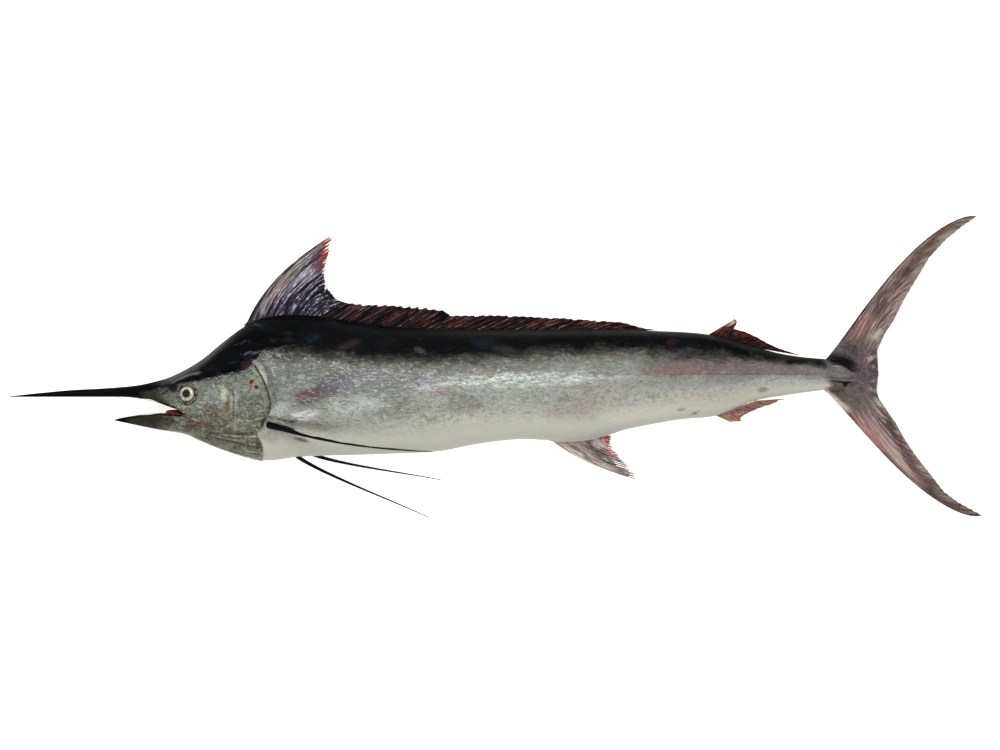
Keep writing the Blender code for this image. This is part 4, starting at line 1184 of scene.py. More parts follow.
for side, name in ((1, "gill_cover_left"), (-1, "gill_cover_right")):
    place, out = flank_place(cover_x, cover_y, side)
    cloth = Cloth()
    edge_thick = COVER_THICK * (1 - 0.6 * smooth(0.7, 1, across))
    plate(cloth, world(*np.moveaxis(place + out * rise[..., None], -1, 0)),
          world(*np.moveaxis(place + out * (rise - edge_thick)[..., None], -1, 0)))
    cover, kept = finish_mesh(cloth, f"{name}_plate", cover_finish.material)
    carry_marks(cover.data, *[np.tile(part.ravel(), 2)[kept] for part in (cover_x, cover_y)])
    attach(cover, "root")
    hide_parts(name)
print("each gill cover has", len(cover.data.polygons), "faces")

# %% [markdown]
# Eyes. A marlin's eye is a flat lens, almost 40 mm across, in a loose ring of skin. A plain ball would
# look like glass from a toy. Here the ball is turned from a profile, as on a lathe, and every point keeps
# its distance from the middle, so that pupil, iris and white follow rings however the eye is turned. A
# strong clear coat gives the cornea. The ring of skin round it is turned from a second profile.

# %% Turned pieces
SHUT_RADIUS = 0.2


def turned(name, profile, x, y, side, material, segments=64, sunk=0.0, wave=0.0):
    """A lathe form on the flank, from (radius, height) points in millimetres.

    A profile that starts in the middle makes a solid, and one that starts further out closes to a ring.
    """
    place, out = flank_place(np.array(float(x)), np.array(float(y)), side)
    back = np.cross((0, 1, 0), out)
    back /= np.linalg.norm(back)
    up = np.cross(out, back)
    angle = np.linspace(0, 2 * math.pi, segments, endpoint=False)
    radius, height = np.array(profile, float).T
    ripple = 1 + wave * np.sin(angle * 3 + 1) + wave * 0.6 * np.sin(angle * 7)
    spokes = back * np.cos(angle)[:, None] + up * np.sin(angle)[:, None]
    rings = (radius[:, None] * ripple)[..., None] * spokes + (height - sunk)[:, None, None] * out
    cloth = Cloth()
    numbers = cloth.numbers(world(*np.moveaxis(place + rings, -1, 0)))
    cloth.join(numbers, (0, 1), (0, 1))
    if radius[0] > SHUT_RADIUS:
        cloth.join(np.stack((numbers[-1], numbers[0])), (0.99, 1), (0, 1))
    piece, kept = finish_mesh(cloth, name, material)
    mark(piece.data, "radius", np.repeat(radius, segments)[kept])
    return piece


# %% The eyes and the skin round them
EYE_RADIUS, EYE_HEIGHT, EYE_SUNK = 18.0, 8.2, 3.5
PUPIL, IRIS, IRIS_FADE = 8.4, 15.2, 13
EYE_TONES = (
    (0.0, (6, 7, 9)), (0.42, (8, 9, 13)), (0.47, (104, 100, 84)), (0.53, (176, 172, 150)),
    (0.7, (192, 188, 166)), (0.82, (166, 156, 130)), (0.9, (90, 80, 66)), (0.95, (30, 26, 24)),
    (1.0, (8, 8, 10)))
LID_PROFILE = (
    (17.4, 0.4), (17.2, 1.4), (18.0, 2.3), (19.6, 2.6), (21.4, 1.9), (23.4, 0.5), (24.4, -1.6), (21, -3.6),
    (18.4, -2.6))
LID_SUNK, LID_WAVE = 0.4, 0.012
EYE_SEGMENTS = 72

eye_finish = Finish("marlin_eye", roughness=0.2, coat_weight=0.7, coat_roughness=0.03)
radius = carried(eye_finish, "radius")
flecks = eye_finish.noise(420, detail=4, rough=0.65)
broad_flecks = eye_finish.noise(150, detail=3)
rings = ramp(eye_finish, EYE_TONES, radius / EYE_RADIUS + (flecks - 0.5) * 0.06)
iris = eye_finish.band(radius, PUPIL, PUPIL + 1) * eye_finish.band(radius, IRIS, IRIS_FADE)
eye_finish.paint(eye_finish.layers(
    rings,
    ((104, 100, 74), eye_finish.band(flecks, 0.52, 0.64) * iris * 0.7),
    ((120, 104, 76), eye_finish.band(broad_flecks, 0.52, 0.62) * iris * 0.8),
))

steps = np.linspace(0, math.pi, 33)
ball = [(max(EYE_RADIUS * math.sin(a), 0.05), EYE_HEIGHT * math.cos(a)) for a in steps]
lid_finish = Finish("eye_ring_skin", roughness=0.35, coat_weight=0.06, coat_roughness=0.15)
grain = lid_finish.noise(160, detail=4)
lid_skin = lid_finish.mix((30, 33, 34), (104, 106, 96), lid_finish.band(grain, 0.4, 0.56))
radius = carried(lid_finish, "radius")
gaps = lid_finish.band(lid_finish.noise(44, detail=1), 0.42, 0.52)
lid_finish.paint(lid_finish.layers(
    lid_skin,
    ((9, 9, 11), lid_finish.band(radius, 19, 18) * gaps),
    ((16, 17, 18), lid_finish.hump(radius, 23, 1.4) * 0.7),
), bump=grain, depth=0.0006)
for side, name in ((1, "eye_left"), (-1, "eye_right")):
    eye = turned(f"{name}_ball", ball, *EYE, side, eye_finish.material, EYE_SEGMENTS, EYE_SUNK)
    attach(eye, "root")
    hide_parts(name)
    ring = turned(f"{name}_ring", LID_PROFILE, *EYE, side, lid_finish.material, EYE_SEGMENTS, LID_SUNK,
                  LID_WAVE)
    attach(ring, "root")
print("an eye has", len(eye.data.polygons), "faces")

# %% [markdown]
# Nostrils, tongue and teeth. The nostrils are two small pits with rims in front of the eye. The tongue is a
# flat red strip on the mouth's floor. A marlin has no fangs: both jaws carry bands of tiny rasping points,
# so the teeth are set in rows along the lips by Geometry Nodes, from one small cone.

# %% Nostrils and tongue
NOSTRILS = ((324, 8), (330.5, 11.5))
NOSTRIL_RIM = ((0.9, -2.0), (1.1, 0.3), (1.7, 0.75), (2.5, 0.4), (3.0, -0.8), (1.8, -2.6))
TONGUE_PLACE, TONGUE_SIZE, TONGUE_GROOVE = (349.5, -33.0), (23, 6, 22), 0.8

for side, hand in ((1, "left"), (-1, "right")):
    for (x, y), which in zip(NOSTRILS, ("front", "rear")):
        rim_piece = turned(f"nostril_{which}_{hand}", NOSTRIL_RIM, x, y, side, lid_finish.material, 20)
        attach(rim_piece, "root")

tongue_finish = Finish("wet_tongue", roughness=0.22, coat_weight=0.6, coat_roughness=0.1)
buds = tongue_finish.noise(500, detail=3)
red = tongue_finish.mix((146, 24, 24), (170, 58, 46), tongue_finish.band(buds, 0.4, 0.65))
tongue_finish.paint(red, bump=buds, depth=0.0006)
around, down = np.meshgrid(np.linspace(0, 2 * math.pi, 48, endpoint=False),
                           np.linspace(0.02, math.pi - 0.02, 25))
reach = np.sin(down)
groove = TONGUE_GROOVE * bell(np.cos(around) * reach, 0.16) * (np.cos(down) > 0)
blunt = np.sign(np.sin(around)) * np.abs(np.sin(around)) ** 0.6
tongue_places = world(TONGUE_PLACE[0] - TONGUE_SIZE[0] * reach ** 0.5 * blunt,
                      TONGUE_PLACE[1] + TONGUE_SIZE[1] * np.cos(down) - groove,
                      TONGUE_SIZE[2] * reach * np.cos(around))
cloth = Cloth()
numbers = cloth.numbers(tongue_places)
cloth.join(numbers, (0, 1), (0, 1))
cloth.close(numbers[0], (0.001, 0.5))
cloth.close(numbers[-1], (0.999, 0.5))
tongue, _ = finish_mesh(cloth, "tongue_flesh", tongue_finish.material)
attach(tongue, "root")
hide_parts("tongue")
print("the tongue is", round(tongue.dimensions.x / MM), "mm long")

# %% A Geometry Nodes tree from a few calls
def new_tree(name, **inputs):
    """An empty Geometry Nodes group with named inputs, its tree, and a wire for each input."""
    group = bpy.data.node_groups.new(name, "GeometryNodeTree")
    group.interface.new_socket("Geometry", in_out="INPUT", socket_type="NodeSocketGeometry")
    for label, kind in inputs.items():
        group.interface.new_socket(label.replace("_", " "), in_out="INPUT", socket_type=f"NodeSocket{kind}")
    group.interface.new_socket("Geometry", in_out="OUTPUT", socket_type="NodeSocketGeometry")
    tree = Tree(group)
    entry = tree.add("NodeGroupInput")
    wires = [Wire(tree, socket) for socket in entry.socket.node.outputs[:-1]]
    return group, tree, wires


def close_tree(tree, geometry, material):
    """End a tree in plain geometry with its material."""
    real = tree.add("GeometryNodeRealizeInstances", {}, {"Geometry": geometry})
    dressed = tree.add("GeometryNodeSetMaterial", {}, {"Geometry": real, "Material": material})
    tree.feed(tree.nodes.new("NodeGroupOutput").inputs["Geometry"], dressed)


def grown(piece, group, **values):
    """Run a tree on a piece's mesh and keep what it makes as the piece's own plain mesh."""
    modifier = piece.modifiers.new("grow", "NODES")
    modifier.node_group = group
    for item in group.interface.items_tree:
        label = item.name.replace(" ", "_")
        if item.in_out == "INPUT" and label in values:
            modifier[item.identifier] = values[label]
    view = bpy.context.evaluated_depsgraph_get()
    made = bpy.data.meshes.new_from_object(piece.evaluated_get(view))
    piece.modifiers.remove(modifier)
    piece.data = made
    return piece


def seed_points(name, places, normals):
    """A loose mesh of points that remember their outward direction."""
    made = bpy.data.meshes.new(name)
    made.from_pydata(places.tolist(), [], [])
    made.attributes.new("out", "FLOAT_VECTOR", "POINT").data.foreach_set("vector", normals.ravel())
    return in_scene(name, made)


# %% Rows of small teeth
TOOTH_STEP, TOOTH_RADIUS, TOOTH_LENGTH = 1.7, 0.5, 1.3
TOOTH_ROWS, TOOTH_ROW_GAP, TOOTH_STAGGER = 2, 1.4, 0.9
# A row stands at this share of the jaw's half width, less the inset, with its roots sunk in the lip
TOOTH_SHARE, TOOTH_INSET, TOOTH_SUNK = 0.8, 1.6, 0.9

tooth_finish = Finish("tooth_ivory", roughness=0.35, coat_weight=0.3)
stain = tooth_finish.noise(300, detail=3)
tooth_finish.paint(tooth_finish.mix((206, 198, 176), (150, 132, 104), stain))
group, tree, (points, radius_wire, length_wire, seed_wire) = new_tree(
    "tooth_rows", Radius="Float", Length="Float", Seed="Int")
cone = tree.add("GeometryNodeMeshCone", {}, {"Vertices": 5, "Radius Top": 0.0, "Radius Bottom": radius_wire,
                                             "Depth": length_wire})
direction = tree.named("out", "FLOAT_VECTOR")
turn = tree.add("FunctionNodeAxesToRotation", {}, {"Primary Axis": direction})
size = tree.chance(0.65, 1.1, seed_wire)
dots = tree.add("GeometryNodeMeshToPoints", {}, {"Mesh": points})
teeth = tree.add("GeometryNodeInstanceOnPoints", {}, {"Points": dots, "Instance": cone, "Rotation": turn,
                                                      "Scale": size})
close_tree(tree, teeth, tooth_finish.material)
for lip, place_range, way, name in ((UPPER_LIP, (232, 352), -1, "upper_teeth"),
                                    (LOWER_LIP, (226, 350), 1, "lower_teeth")):
    xs = np.arange(*place_range, TOOTH_STEP)
    rows, outs = [], []
    for row in range(TOOTH_ROWS):
        for side in (1, -1):
            width = flank(xs, lip(xs)) if way < 0 else np.minimum(JAW_WIDTH(xs), flank(xs, lip(xs)))
            z = side * (width * TOOTH_SHARE - TOOTH_INSET - TOOTH_ROW_GAP * row)
            rows.append(world(xs + row * TOOTH_STAGGER, lip(xs) - way * TOOTH_SUNK, z))
            outs.append(np.tile((-0.15, way, 0.12 * side), (len(xs), 1)))
    teeth_piece = seed_points(name, np.concatenate(rows), np.concatenate(outs).astype(float))
    grown(teeth_piece, group, Radius=TOOTH_RADIUS * MM, Length=TOOTH_LENGTH * MM, Seed=4)
    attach(teeth_piece, "root")
    print(name, len(teeth_piece.data.vertices) // 7)

# %% [markdown]
# Scales. A marlin's scales are bony slivers, 15 to 25 mm long and hardly 2 mm wide, that lie in the skin
# like needles, all along the body. They are scattered over the skin's own faces, each laid along the body
# and sunk by half, so only its ridge shows. A texture alone would give no edge to the light. The skin is
# shared between three lengths so that no piece grows too heavy.

# %% Slivers over the skin
SLIVER = (8.5, 0.62, 0.2)
SLIVER_SPACE, SLIVER_CROWD = 4.8, 90000.0
SLIVER_POINTS = 6
SLIVER_FLAT = 0.0015
LENGTHS = ((545, 830), (830, 1200), (1200, 1735))

scale_finish = SkinFinish("scale_slivers", coat_weight=0.03, coat_roughness=0.2)
colour, rough, bump, silver = marlin_colours(scale_finish)
shade = carried(scale_finish, "shade")
colour = scale_finish.layers(
    colour,
    ((206, 209, 204), scale_finish.band(shade, 0.7, 1.0) * silver * 0.8),
    ((70, 74, 72), scale_finish.band(shade, 0.35, 0.0) * silver * 0.8),
)
scale_finish.paint(colour, rough, bump, 0.0008)

group, tree, (surface, half_size, space, seed_wire) = new_tree(
    "scale_scatter", Half_size="Vector", Space="Float", Seed="Int")
wanted = tree.named("scaly")
scattered = tree.add("GeometryNodeDistributePointsOnFaces", {"distribute_method": "POISSON"},
                     {"Mesh": surface, "Distance Min": space, "Density Max": SLIVER_CROWD,
                      "Density Factor": wanted, "Seed": seed_wire})
outward = Wire(tree, scattered.socket.node.outputs["Normal"])
lie = tree.add("FunctionNodeRandomValue", {"data_type": "FLOAT_VECTOR"},
               {"Min": (1.0, -0.4, -0.4), "Max": (1.0, 0.4, 0.4), "Seed": seed_wire})
turn = tree.add("FunctionNodeAxesToRotation", {"primary_axis": "Z", "secondary_axis": "X"},
                {"Primary Axis": outward, "Secondary Axis": lie})
sliver = tree.add("GeometryNodeMeshUVSphere", {}, {"Segments": 4, "Rings": 2, "Radius": 1.0})
grow_share = tree.chance(0.6, 1.15, seed_wire)
scaled = tree.add("ShaderNodeVectorMath", {"operation": "SCALE"}, {0: half_size, "Scale": grow_share})
laid = tree.add("GeometryNodeInstanceOnPoints", {},
                {"Points": scattered, "Instance": sliver, "Rotation": turn, "Scale": scaled})
tint = tree.chance(0.0, 1.0, 77)
tinted = tree.add("GeometryNodeStoreNamedAttribute", {"domain": "INSTANCE"},
                  {"Geometry": laid, "Name": "shade", "Value": tint})
close_tree(tree, tinted, scale_finish.material)


# %% Three lengths of scales
def part_of_skin(name, low, high):
    """A copy of the skin's faces between two places along the body."""
    cut = bmesh.new()
    cut.from_mesh(marlin_mesh)
    away = [face for face in cut.faces
            if not low <= face.calc_center_median().x / MM + MIDDLE_X < high]
    bmesh.ops.delete(cut, geom=away, context="FACES")
    made = bpy.data.meshes.new(name)
    cut.to_mesh(made)
    cut.free()
    return in_scene(name, made)


for (low, high), which in zip(LENGTHS, ("front", "middle", "rear")):
    scales = part_of_skin(f"scales_{which}", low, high)
    grown(scales, group, Half_size=[part * MM for part in SLIVER], Space=SLIVER_SPACE * MM, Seed=11)
    made = scales.data
    spots = vectors(made)
    centres = spots.reshape(-1, SLIVER_POINTS, 3).mean(1).repeat(SLIVER_POINTS, 0)
    x, y = centres[:, 0] / MM + MIDDLE_X, centres[:, 1] / MM + MIDDLE_Y
    carry_marks(made, x, y)
    turn_round = np.arctan2(y - 20, centres[:, 2] / MM - LIE(x)) / (2 * math.pi) + 0.5
    own = (spots - centres) / MM
    u = (x - low) / (high - low) * 0.99 + own[:, 0] / (2 * SLIVER[0]) * SLIVER_FLAT
    v = turn_round * 0.99 + (own[:, 1] + own[:, 2]) / 3 * SLIVER_FLAT
    owner = np.empty(len(made.loops), int)
    made.loops.foreach_get("vertex_index", owner)
    flat = made.uv_layers.new(name="OFBake") if "OFBake" not in made.uv_layers else made.uv_layers["OFBake"]
    flat.uv.foreach_set("vector", np.stack((u, v), -1)[owner].clip(0, 1).ravel())
    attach(scales, "root")
    print(scales.name, len(made.vertices) // SLIVER_POINTS, "slivers")

# %% [markdown]
# Fins. A fin is a skin of membrane stretched over rays, and each ray splits in two towards its tip. The
# membrane could be a flat card with painted rays, but at the fin's edge the real one is torn between the
# rays, and its surface sags from ray to ray. So each fin is a fan of rays between a front and a rear one.
# The membrane is a thin closed plate that follows the fan, cut back between rays, and the rays are tapered
# tubes that Geometry Nodes grow from lines, each point of a line carrying its own thickness.

# %% A fan of rays
def swing(t, crest):
    """A bend that is 0 at both ends and 1 where t is crest."""
    t = np.clip(t, 0, 1)
    return (t / crest) ** (2 * crest) * ((1 - t) / (1 - crest)) ** (2 - 2 * crest)


class Fan:
    """A fin's surface: places by share across it, front to rear, and share out along a ray."""

    def __init__(self, roots, tips, normal=(0, 0, 1), bow=(0.0, 0.5), arch=0.0):
        self.ends = np.stack((roots, tips), 1)
        steps = np.linalg.norm(np.diff(self.ends, axis=0), axis=2).sum(1)
        self.marks = np.concatenate(((0,), np.cumsum(steps))) / steps.sum()
        self.normal, self.bow, self.arch = np.array(normal, float), bow, arch

    def place(self, u, t):
        """World places at shares u across and t out, which are arrays of one shape."""
        flat = self.ends.reshape(len(self.marks), 6)
        both = np.stack([np.interp(u, self.marks, flat[:, k]) for k in range(6)], -1)
        root, tip = both[..., :3], both[..., 3:]
        along = tip - root
        aside = np.cross(self.normal, along)
        length = np.linalg.norm(along, axis=-1, keepdims=True)
        t = t[..., None]
        spot = root + along * t + aside * self.bow[0] * swing(t, self.bow[1])
        return spot + self.normal * self.arch * length * swing(t, 0.5)


def level(rays, droop=0.0):
    """Roots and tips of key rays in the fish's middle plane, with tips that droop."""
    rx, ry, tx, ty = np.array(rays, float).T
    return world(rx, ry, 0 * rx), world(tx, ty, 0 * tx - droop)


# %% Membrane and rays
RAY_SIDES, RAY_POINTS = 6, 26
PER_GAP = 6
MEMBRANE_SHARE, BRANCH_SPREAD = 0.42, 0.3

ray_group, tree, (lines, sides_wire, material_wire) = new_tree("fin_rays", Sides="Int", Finish="Material")
thickness = tree.named("thick")
path = tree.add("GeometryNodeMeshToCurve", {}, {"Mesh": lines})
ring = tree.add("GeometryNodeCurvePrimitiveCircle", {}, {"Resolution": sides_wire, "Radius": 1.0})
tubes = tree.add("GeometryNodeCurveToMesh", {}, {"Curve": path, "Profile Curve": ring, "Scale": thickness,
                                                 "Fill Caps": True})
close_tree(tree, tubes, material_wire)


# %% A whole fin
def carry_fin_marks(mesh, patches):
    """Lay a fin's own patches, those of the tail's root, and the dark marks with the keels' painted shade and
    highlight, on its mesh.
    """
    x, y, _ = vectors(mesh).T / MM
    for label, laid in (("fin_patches", patches), ("root_patches", ROOT_PATCHES),
                        ("dark_patches", MARKS_AND_KEEL_SHADING)):
        carry_patches(mesh, label, x + MIDDLE_X, y + MIDDLE_Y, laid)


def make_fin(name, fan, rays, thick, material, node, rows=48, notch=0.03, torn=0.0, sag=0.0, split=0.5,
             ray_share=1.0, sink=0.02, crowd=1.0, whole=3, taper=1.0, patches=()):
    """A fin's membrane and rays, as two pieces that replace its solid.

    Lengths are in millimetres. thick is half a ray's thickness at its root and tip, taper how fast it thins
    and ray_share how thick it is beside the membrane. Between rays the edge is cut back by the notch, a
    share of the length, and in some gaps by up to the share torn more, but the first whole rays stay whole.
    The membrane bellies by sag. The rays split beyond the share split of their length. The root goes under
    the skin by the share sink, and crowd packs the rows towards the tip. Patches are as on the flank.
    """
    wear = random.Random(name)
    gaps = rays - 1
    ends = [1 - torn * 0.4 * wear.random() * (i >= whole) for i in range(rays)]
    cuts = [notch + (torn * wear.random() if wear.random() < 0.45 else 0) for _ in range(gaps)]
    lean = [wear.uniform(-1, 1) for _ in range(gaps)]
    u = np.linspace(0, 1, gaps * PER_GAP + 1)
    gap = np.minimum((u * gaps).astype(int), gaps - 1)
    within = u * gaps - gap
    hollow = np.sin(within * math.pi) ** 0.6
    reach = np.array(ends)[gap] * (1 - within) + np.array(ends)[np.minimum(gap + 1, gaps)] * within
    reach = reach - np.array(cuts)[gap] * hollow
    grid_u, out = np.meshgrid(u, 1 - (1 - np.linspace(0, 1, rows + 1)) ** crowd, indexing="ij")
    t = out * (reach[:, None] + sink) - sink
    spots = fan.place(grid_u, t)
    belly = sag * np.array(lean)[gap] * hollow
    wave = belly[:, None] * smooth(0, 0.5, out)
    wave = wave + sag * 0.5 * np.sin(out * 9 + grid_u * 17) * smooth(0.2, 1, out)
    half = MEMBRANE_SHARE * (thick[1] + (thick[0] - thick[1]) * (1 - out.clip(0, 1)) ** taper)
    middle = spots + fan.normal * (wave * MM)[..., None]
    cloth = Cloth()
    plate(cloth, middle + fan.normal * (half * MM)[..., None], middle - fan.normal * (half * MM)[..., None])
    membrane, kept = finish_mesh(cloth, f"{name}_membrane", material)
    mark(membrane.data, "across", np.tile(grid_u.ravel(), 2)[kept])
    mark(membrane.data, "out", np.tile(np.clip(t, 0, 1).ravel(), 2)[kept])
    mark(membrane.data, "rib", np.zeros(len(kept)))
    carry_fin_marks(membrane.data, patches)
    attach(membrane, "root")
    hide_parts(node)

    points, edges, marks = [], [], []
    share = np.linspace(0, 1, RAY_POINTS)
    for i in range(rays):
        for branch in ((-1, 1) if split < 1 else (0,)):
            centre = i / gaps
            way = centre + branch * BRANCH_SPREAD / gaps * smooth(split, 1.1, share)
            out_there = -sink + (ends[i] * (1 - 0.01 * (branch > 0)) + sink) * share
            line = fan.place(np.clip(way, 0, 1), out_there)
            thin = (thick[1] + (thick[0] - thick[1]) * (1 - share) ** (1.3 * taper)) * ray_share
            thin = thin * (0.8 if branch else 1.0) * (0.86 + 0.14 * wear.random())
            edges += [(len(points) + k, len(points) + k + 1) for k in range(len(share) - 1)]
            points += line.tolist()
            marks += list(zip(thin * MM, np.clip(way, 0, 1), np.clip(out_there, 0, 1)))
    made = bpy.data.meshes.new(f"{name}_rays")
    made.from_pydata(points, edges, [])
    for label, values in zip(("thick", "across", "out"), zip(*marks)):
        mark(made, label, values)
    mark(made, "rib", np.ones(len(points)))
    ribs = in_scene(f"{name}_rays", made)
    grown(ribs, ray_group, Sides=RAY_SIDES, Finish=material)
    ribs.data.shade_smooth()
    carry_fin_marks(ribs.data, patches)
    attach(ribs, "root")
    print(name, rays, "rays,", len(membrane.data.polygons) + len(ribs.data.polygons), "faces")


# %% [markdown]
# A fin's finish reads how far across and how far out each point is, which both pieces carry. A ramp gives
# the membrane's tones from front to rear, streaks run along the rays because the noise is stretched that
# way, and the tips go through red to cream where the thin edge has dried.

# %% Fin finishes
def fin_finish(name, tones, root, streak, dark, glint, red, cream, rib, fringe=2.0, shared=False, close=1.0):
    """Tones across, then (tone, share) for the root, pale and dark streaks, glints, the tips and the ribs.

    The tips' entries are (tone, start, end) as shares out along a ray, and the fringe tells how far across
    they go. A fin whose finish is shared takes the tail root's tones where the skin has them. The closer
    the rays, the thinner the streaks.
    """
    f = Finish(name, coat_weight=0.03, coat_roughness=0.25)
    across, out, is_rib = [carried(f, label) for label in ("across", "out", "rib")]
    streaks, fine_streaks = [
        f.noise(1.0, detail=3.0, rough=0.6, at=f.add("ShaderNodeCombineXYZ", {}, {
            0: across * (wide * close), 1: out * (long / close)}))
        for wide, long in ((34, 2.4), (130, 9))]
    fine = f.noise(240, detail=3)
    blotch = f.noise(34, detail=4, rough=0.6, at=f.wavy)
    ground = ramp(f, tones, across + (blotch - 0.5) * 0.14)
    edge_wave = (streaks - 0.5) * 0.3 + (blotch - 0.5) * 0.2
    ground = f.layers(
        ground,
        (streak[0], f.band(streaks, 0.5, 0.6) * streak[1]),
        (dark[0], f.band(streaks, 0.49, 0.4) * dark[1]),
        (dark[0], f.band(fine_streaks, 0.5, 0.58) * dark[1] * 0.6),
        (rib[0], is_rib * f.band(across, 0.01, 0.04) * rib[1]),
        (root[0], f.band(out + edge_wave * 0.4, 0.22, 0.04) * root[1]),
    )
    ground = patched(f, ground, "fin_patches", f.band(streaks + (fine - 0.5) * 0.4, 0.3, 0.54) * 0.8 + 0.1)
    fringed = f.band(across, fringe, fringe - 0.12)
    ground = f.layers(
        ground,
        (glint[0], f.band(fine_streaks, 0.47, 0.38) * f.band(streaks, 0.5, 0.6) * glint[1]),
        (red[0], f.band(out + edge_wave, red[1], red[2]) * fringed * f.band(fine_streaks, 0.36, 0.46)),
        (cream[0], f.band(out + edge_wave, cream[1], cream[2]) * fringed),
        ((20, 18, 22), f.band(fine, 0.6, 0.7) * 0.35),
    )
    if shared:
        mottle = f.noise(150, (0.7, 1.2, 1), 4, 0.7, f.bent(FINE_WAVER))
        slate, where = tail_root(f, blotch, mottle)
        ground = f.mix(ground, slate, where * f.band(f.x + (blotch - 0.5) * 20, 1812, 1786))
    ground = patched(f, ground, "dark_patches", 1)
    f.paint(ground, fine * 0.2 + 0.32, streaks * 0.8 + fine * 0.4, 0.0009)
    return f.material


# %% Patches on the fins
DORSAL_PATCHES = (
    ((134, 124, 110), 0.85, 580, 246, 74, 7, 47), ((150, 144, 150), 0.85, 536, 190, 24, 6, 62),
    ((126, 110, 118), 0.6, 634, 304, 30, 5, 44), ((90, 40, 62), 0.6, 566, 214, 24, 2.2, 56),
    ((150, 146, 158), 0.5, 598, 242, 50, 8, 47), ((130, 126, 140), 0.4, 640, 260, 26, 7, 42),
    ((28, 28, 52), 0.8, 636, 190, 36, 13, 20), ((12, 10, 12), 0.9, 668, 214, 22, 12, -30),
    ((150, 44, 42), 0.6, 660, 312, 18, 4, 60), ((120, 44, 50), 0.5, 646, 280, 14, 5, 50),
)
SECOND_PATCHES = (
    ((212, 192, 164), 0.95, 1514, 156, 18, 5.5, 32), ((120, 60, 48), 0.8, 1496, 144, 20, 4, 30),
    ((90, 26, 20), 0.6, 1556, 127, 34, 3, -26))
ANAL_PATCHES = (
    ((178, 70, 64), 0.85, 1256, -98, 24, 6, -60), ((190, 72, 66), 0.8, 1264, -118, 12, 6, -50),
    ((60, 54, 58), 0.8, 1262, -138, 66, 9, -42), ((206, 198, 190), 0.8, 1190, -104, 40, 4, -32),
    ((72, 66, 70), 0.8, 1200, -116, 30, 6, -36), ((206, 188, 184), 0.7, 1236, -96, 16, 10, -20),
    ((60, 54, 58), 0.7, 1228, -108, 30, 4, -36), ((196, 184, 174), 0.7, 1216, -140, 70, 5, -37))
TAIL_PATCHES = (
    ((140, 88, 80), 0.5, 1788, 144, 32, 16, 55), ((196, 188, 176), 0.7, 1828, 133, 22, 9, 20),
    ((120, 92, 88), 0.6, 1826, 110, 16, 12, 0), ((62, 46, 52), 0.9, 1830, 194, 34, 11, 62),
    ((58, 40, 44), 0.85, 1862, 238, 30, 8, 55), ((46, 30, 34), 0.95, 1886, 262, 17, 10, 50),
    ((64, 48, 50), 0.85, 1908, 296, 26, 9, 50), ((44, 30, 32), 0.95, 1939, 328, 17, 8, 45),
    ((80, 62, 60), 0.85, 1968, 352, 30, 9, 40), ((190, 160, 162), 0.6, 1868, 190, 44, 9, 60),
    ((160, 168, 156), 0.75, 1960, 300, 90, 6, 50), ((186, 70, 70), 0.6, 1858, 176, 14, 3, 60),
    ((66, 56, 62), 0.85, 1842, 70, 30, 34, 0), ((84, 84, 86), 0.7, 1812, 26, 34, 20, -50),
    ((80, 62, 66), 0.85, 1842, -6, 40, 10, -62), ((186, 122, 116), 0.6, 1806, -82, 44, 11, -50),
    ((176, 70, 66), 0.8, 1838, -132, 30, 6, -52), ((184, 156, 148), 0.5, 1842, -92, 70, 9, -52),
    ((66, 46, 54), 0.9, 1862, -78, 50, 7, -58), ((70, 48, 56), 0.8, 1888, -128, 46, 9, -54),
    ((54, 48, 48), 0.95, 1962, -208, 60, 15, -34), ((58, 52, 50), 0.95, 2008, -236, 40, 11, -22),
    ((160, 164, 150), 0.8, 1912, -112, 96, 5, -54), ((168, 166, 154), 0.95, 1842, -30, 32, 5.5, -52),
    ((70, 64, 64), 0.9, 2020, 374, 16, 4, 20), ((206, 196, 186), 0.5, 1738, -8, 34, 6, -38),
)
print(sum(map(len, (DORSAL_PATCHES, SECOND_PATCHES, ANAL_PATCHES, TAIL_PATCHES))), "patches on the fins")

# %% Seven finishes
DORSAL = fin_finish(
    "dorsal_membrane",
    ((0, (70, 68, 58)), (0.05, (102, 94, 86)), (0.13, (86, 76, 80)), (0.2, (66, 50, 62)),
     (0.28, (58, 52, 66)), (0.5, (40, 38, 54)), (0.75, (20, 20, 30)), (1, (14, 12, 18))),
    root=((32, 28, 44), 0.5), streak=((150, 140, 152), 0.8), dark=((8, 8, 14), 0.95),
    glint=((236, 236, 242), 1.0), red=((146, 52, 44), 0.84, 0.96), cream=((196, 182, 158), 0.93, 1.02),
    rib=((60, 52, 66), 0.45), fringe=0.5)
STRIP = fin_finish(
    "dorsal_strip_membrane",
    ((0, (20, 18, 28)), (0.3, (14, 11, 12)), (0.6, (12, 9, 9)), (1, (14, 11, 11))),
    root=((6, 6, 8), 0.85), streak=((116, 52, 38), 0.5), dark=((4, 4, 5), 0.9),
    glint=((170, 150, 144), 0.5), red=((96, 54, 46), 0.9, 1.15), cream=((150, 132, 116), 1.0, 1.16),
    rib=((40, 24, 21), 0.6), close=2.6)
SECOND = fin_finish(
    "second_dorsal_membrane",
    ((0, (96, 56, 46)), (0.12, (60, 26, 22)), (0.25, (24, 13, 13)), (0.6, (18, 11, 11)), (1, (30, 20, 18))),
    root=((14, 10, 11), 0.8), streak=((92, 26, 22), 0.45), dark=((12, 8, 9), 0.85),
    glint=((190, 168, 150), 0.35), red=((104, 34, 28), 0.88, 1.02), cream=((80, 50, 40), 0.97, 1.08),
    rib=((56, 26, 22), 0.5), fringe=0.5)
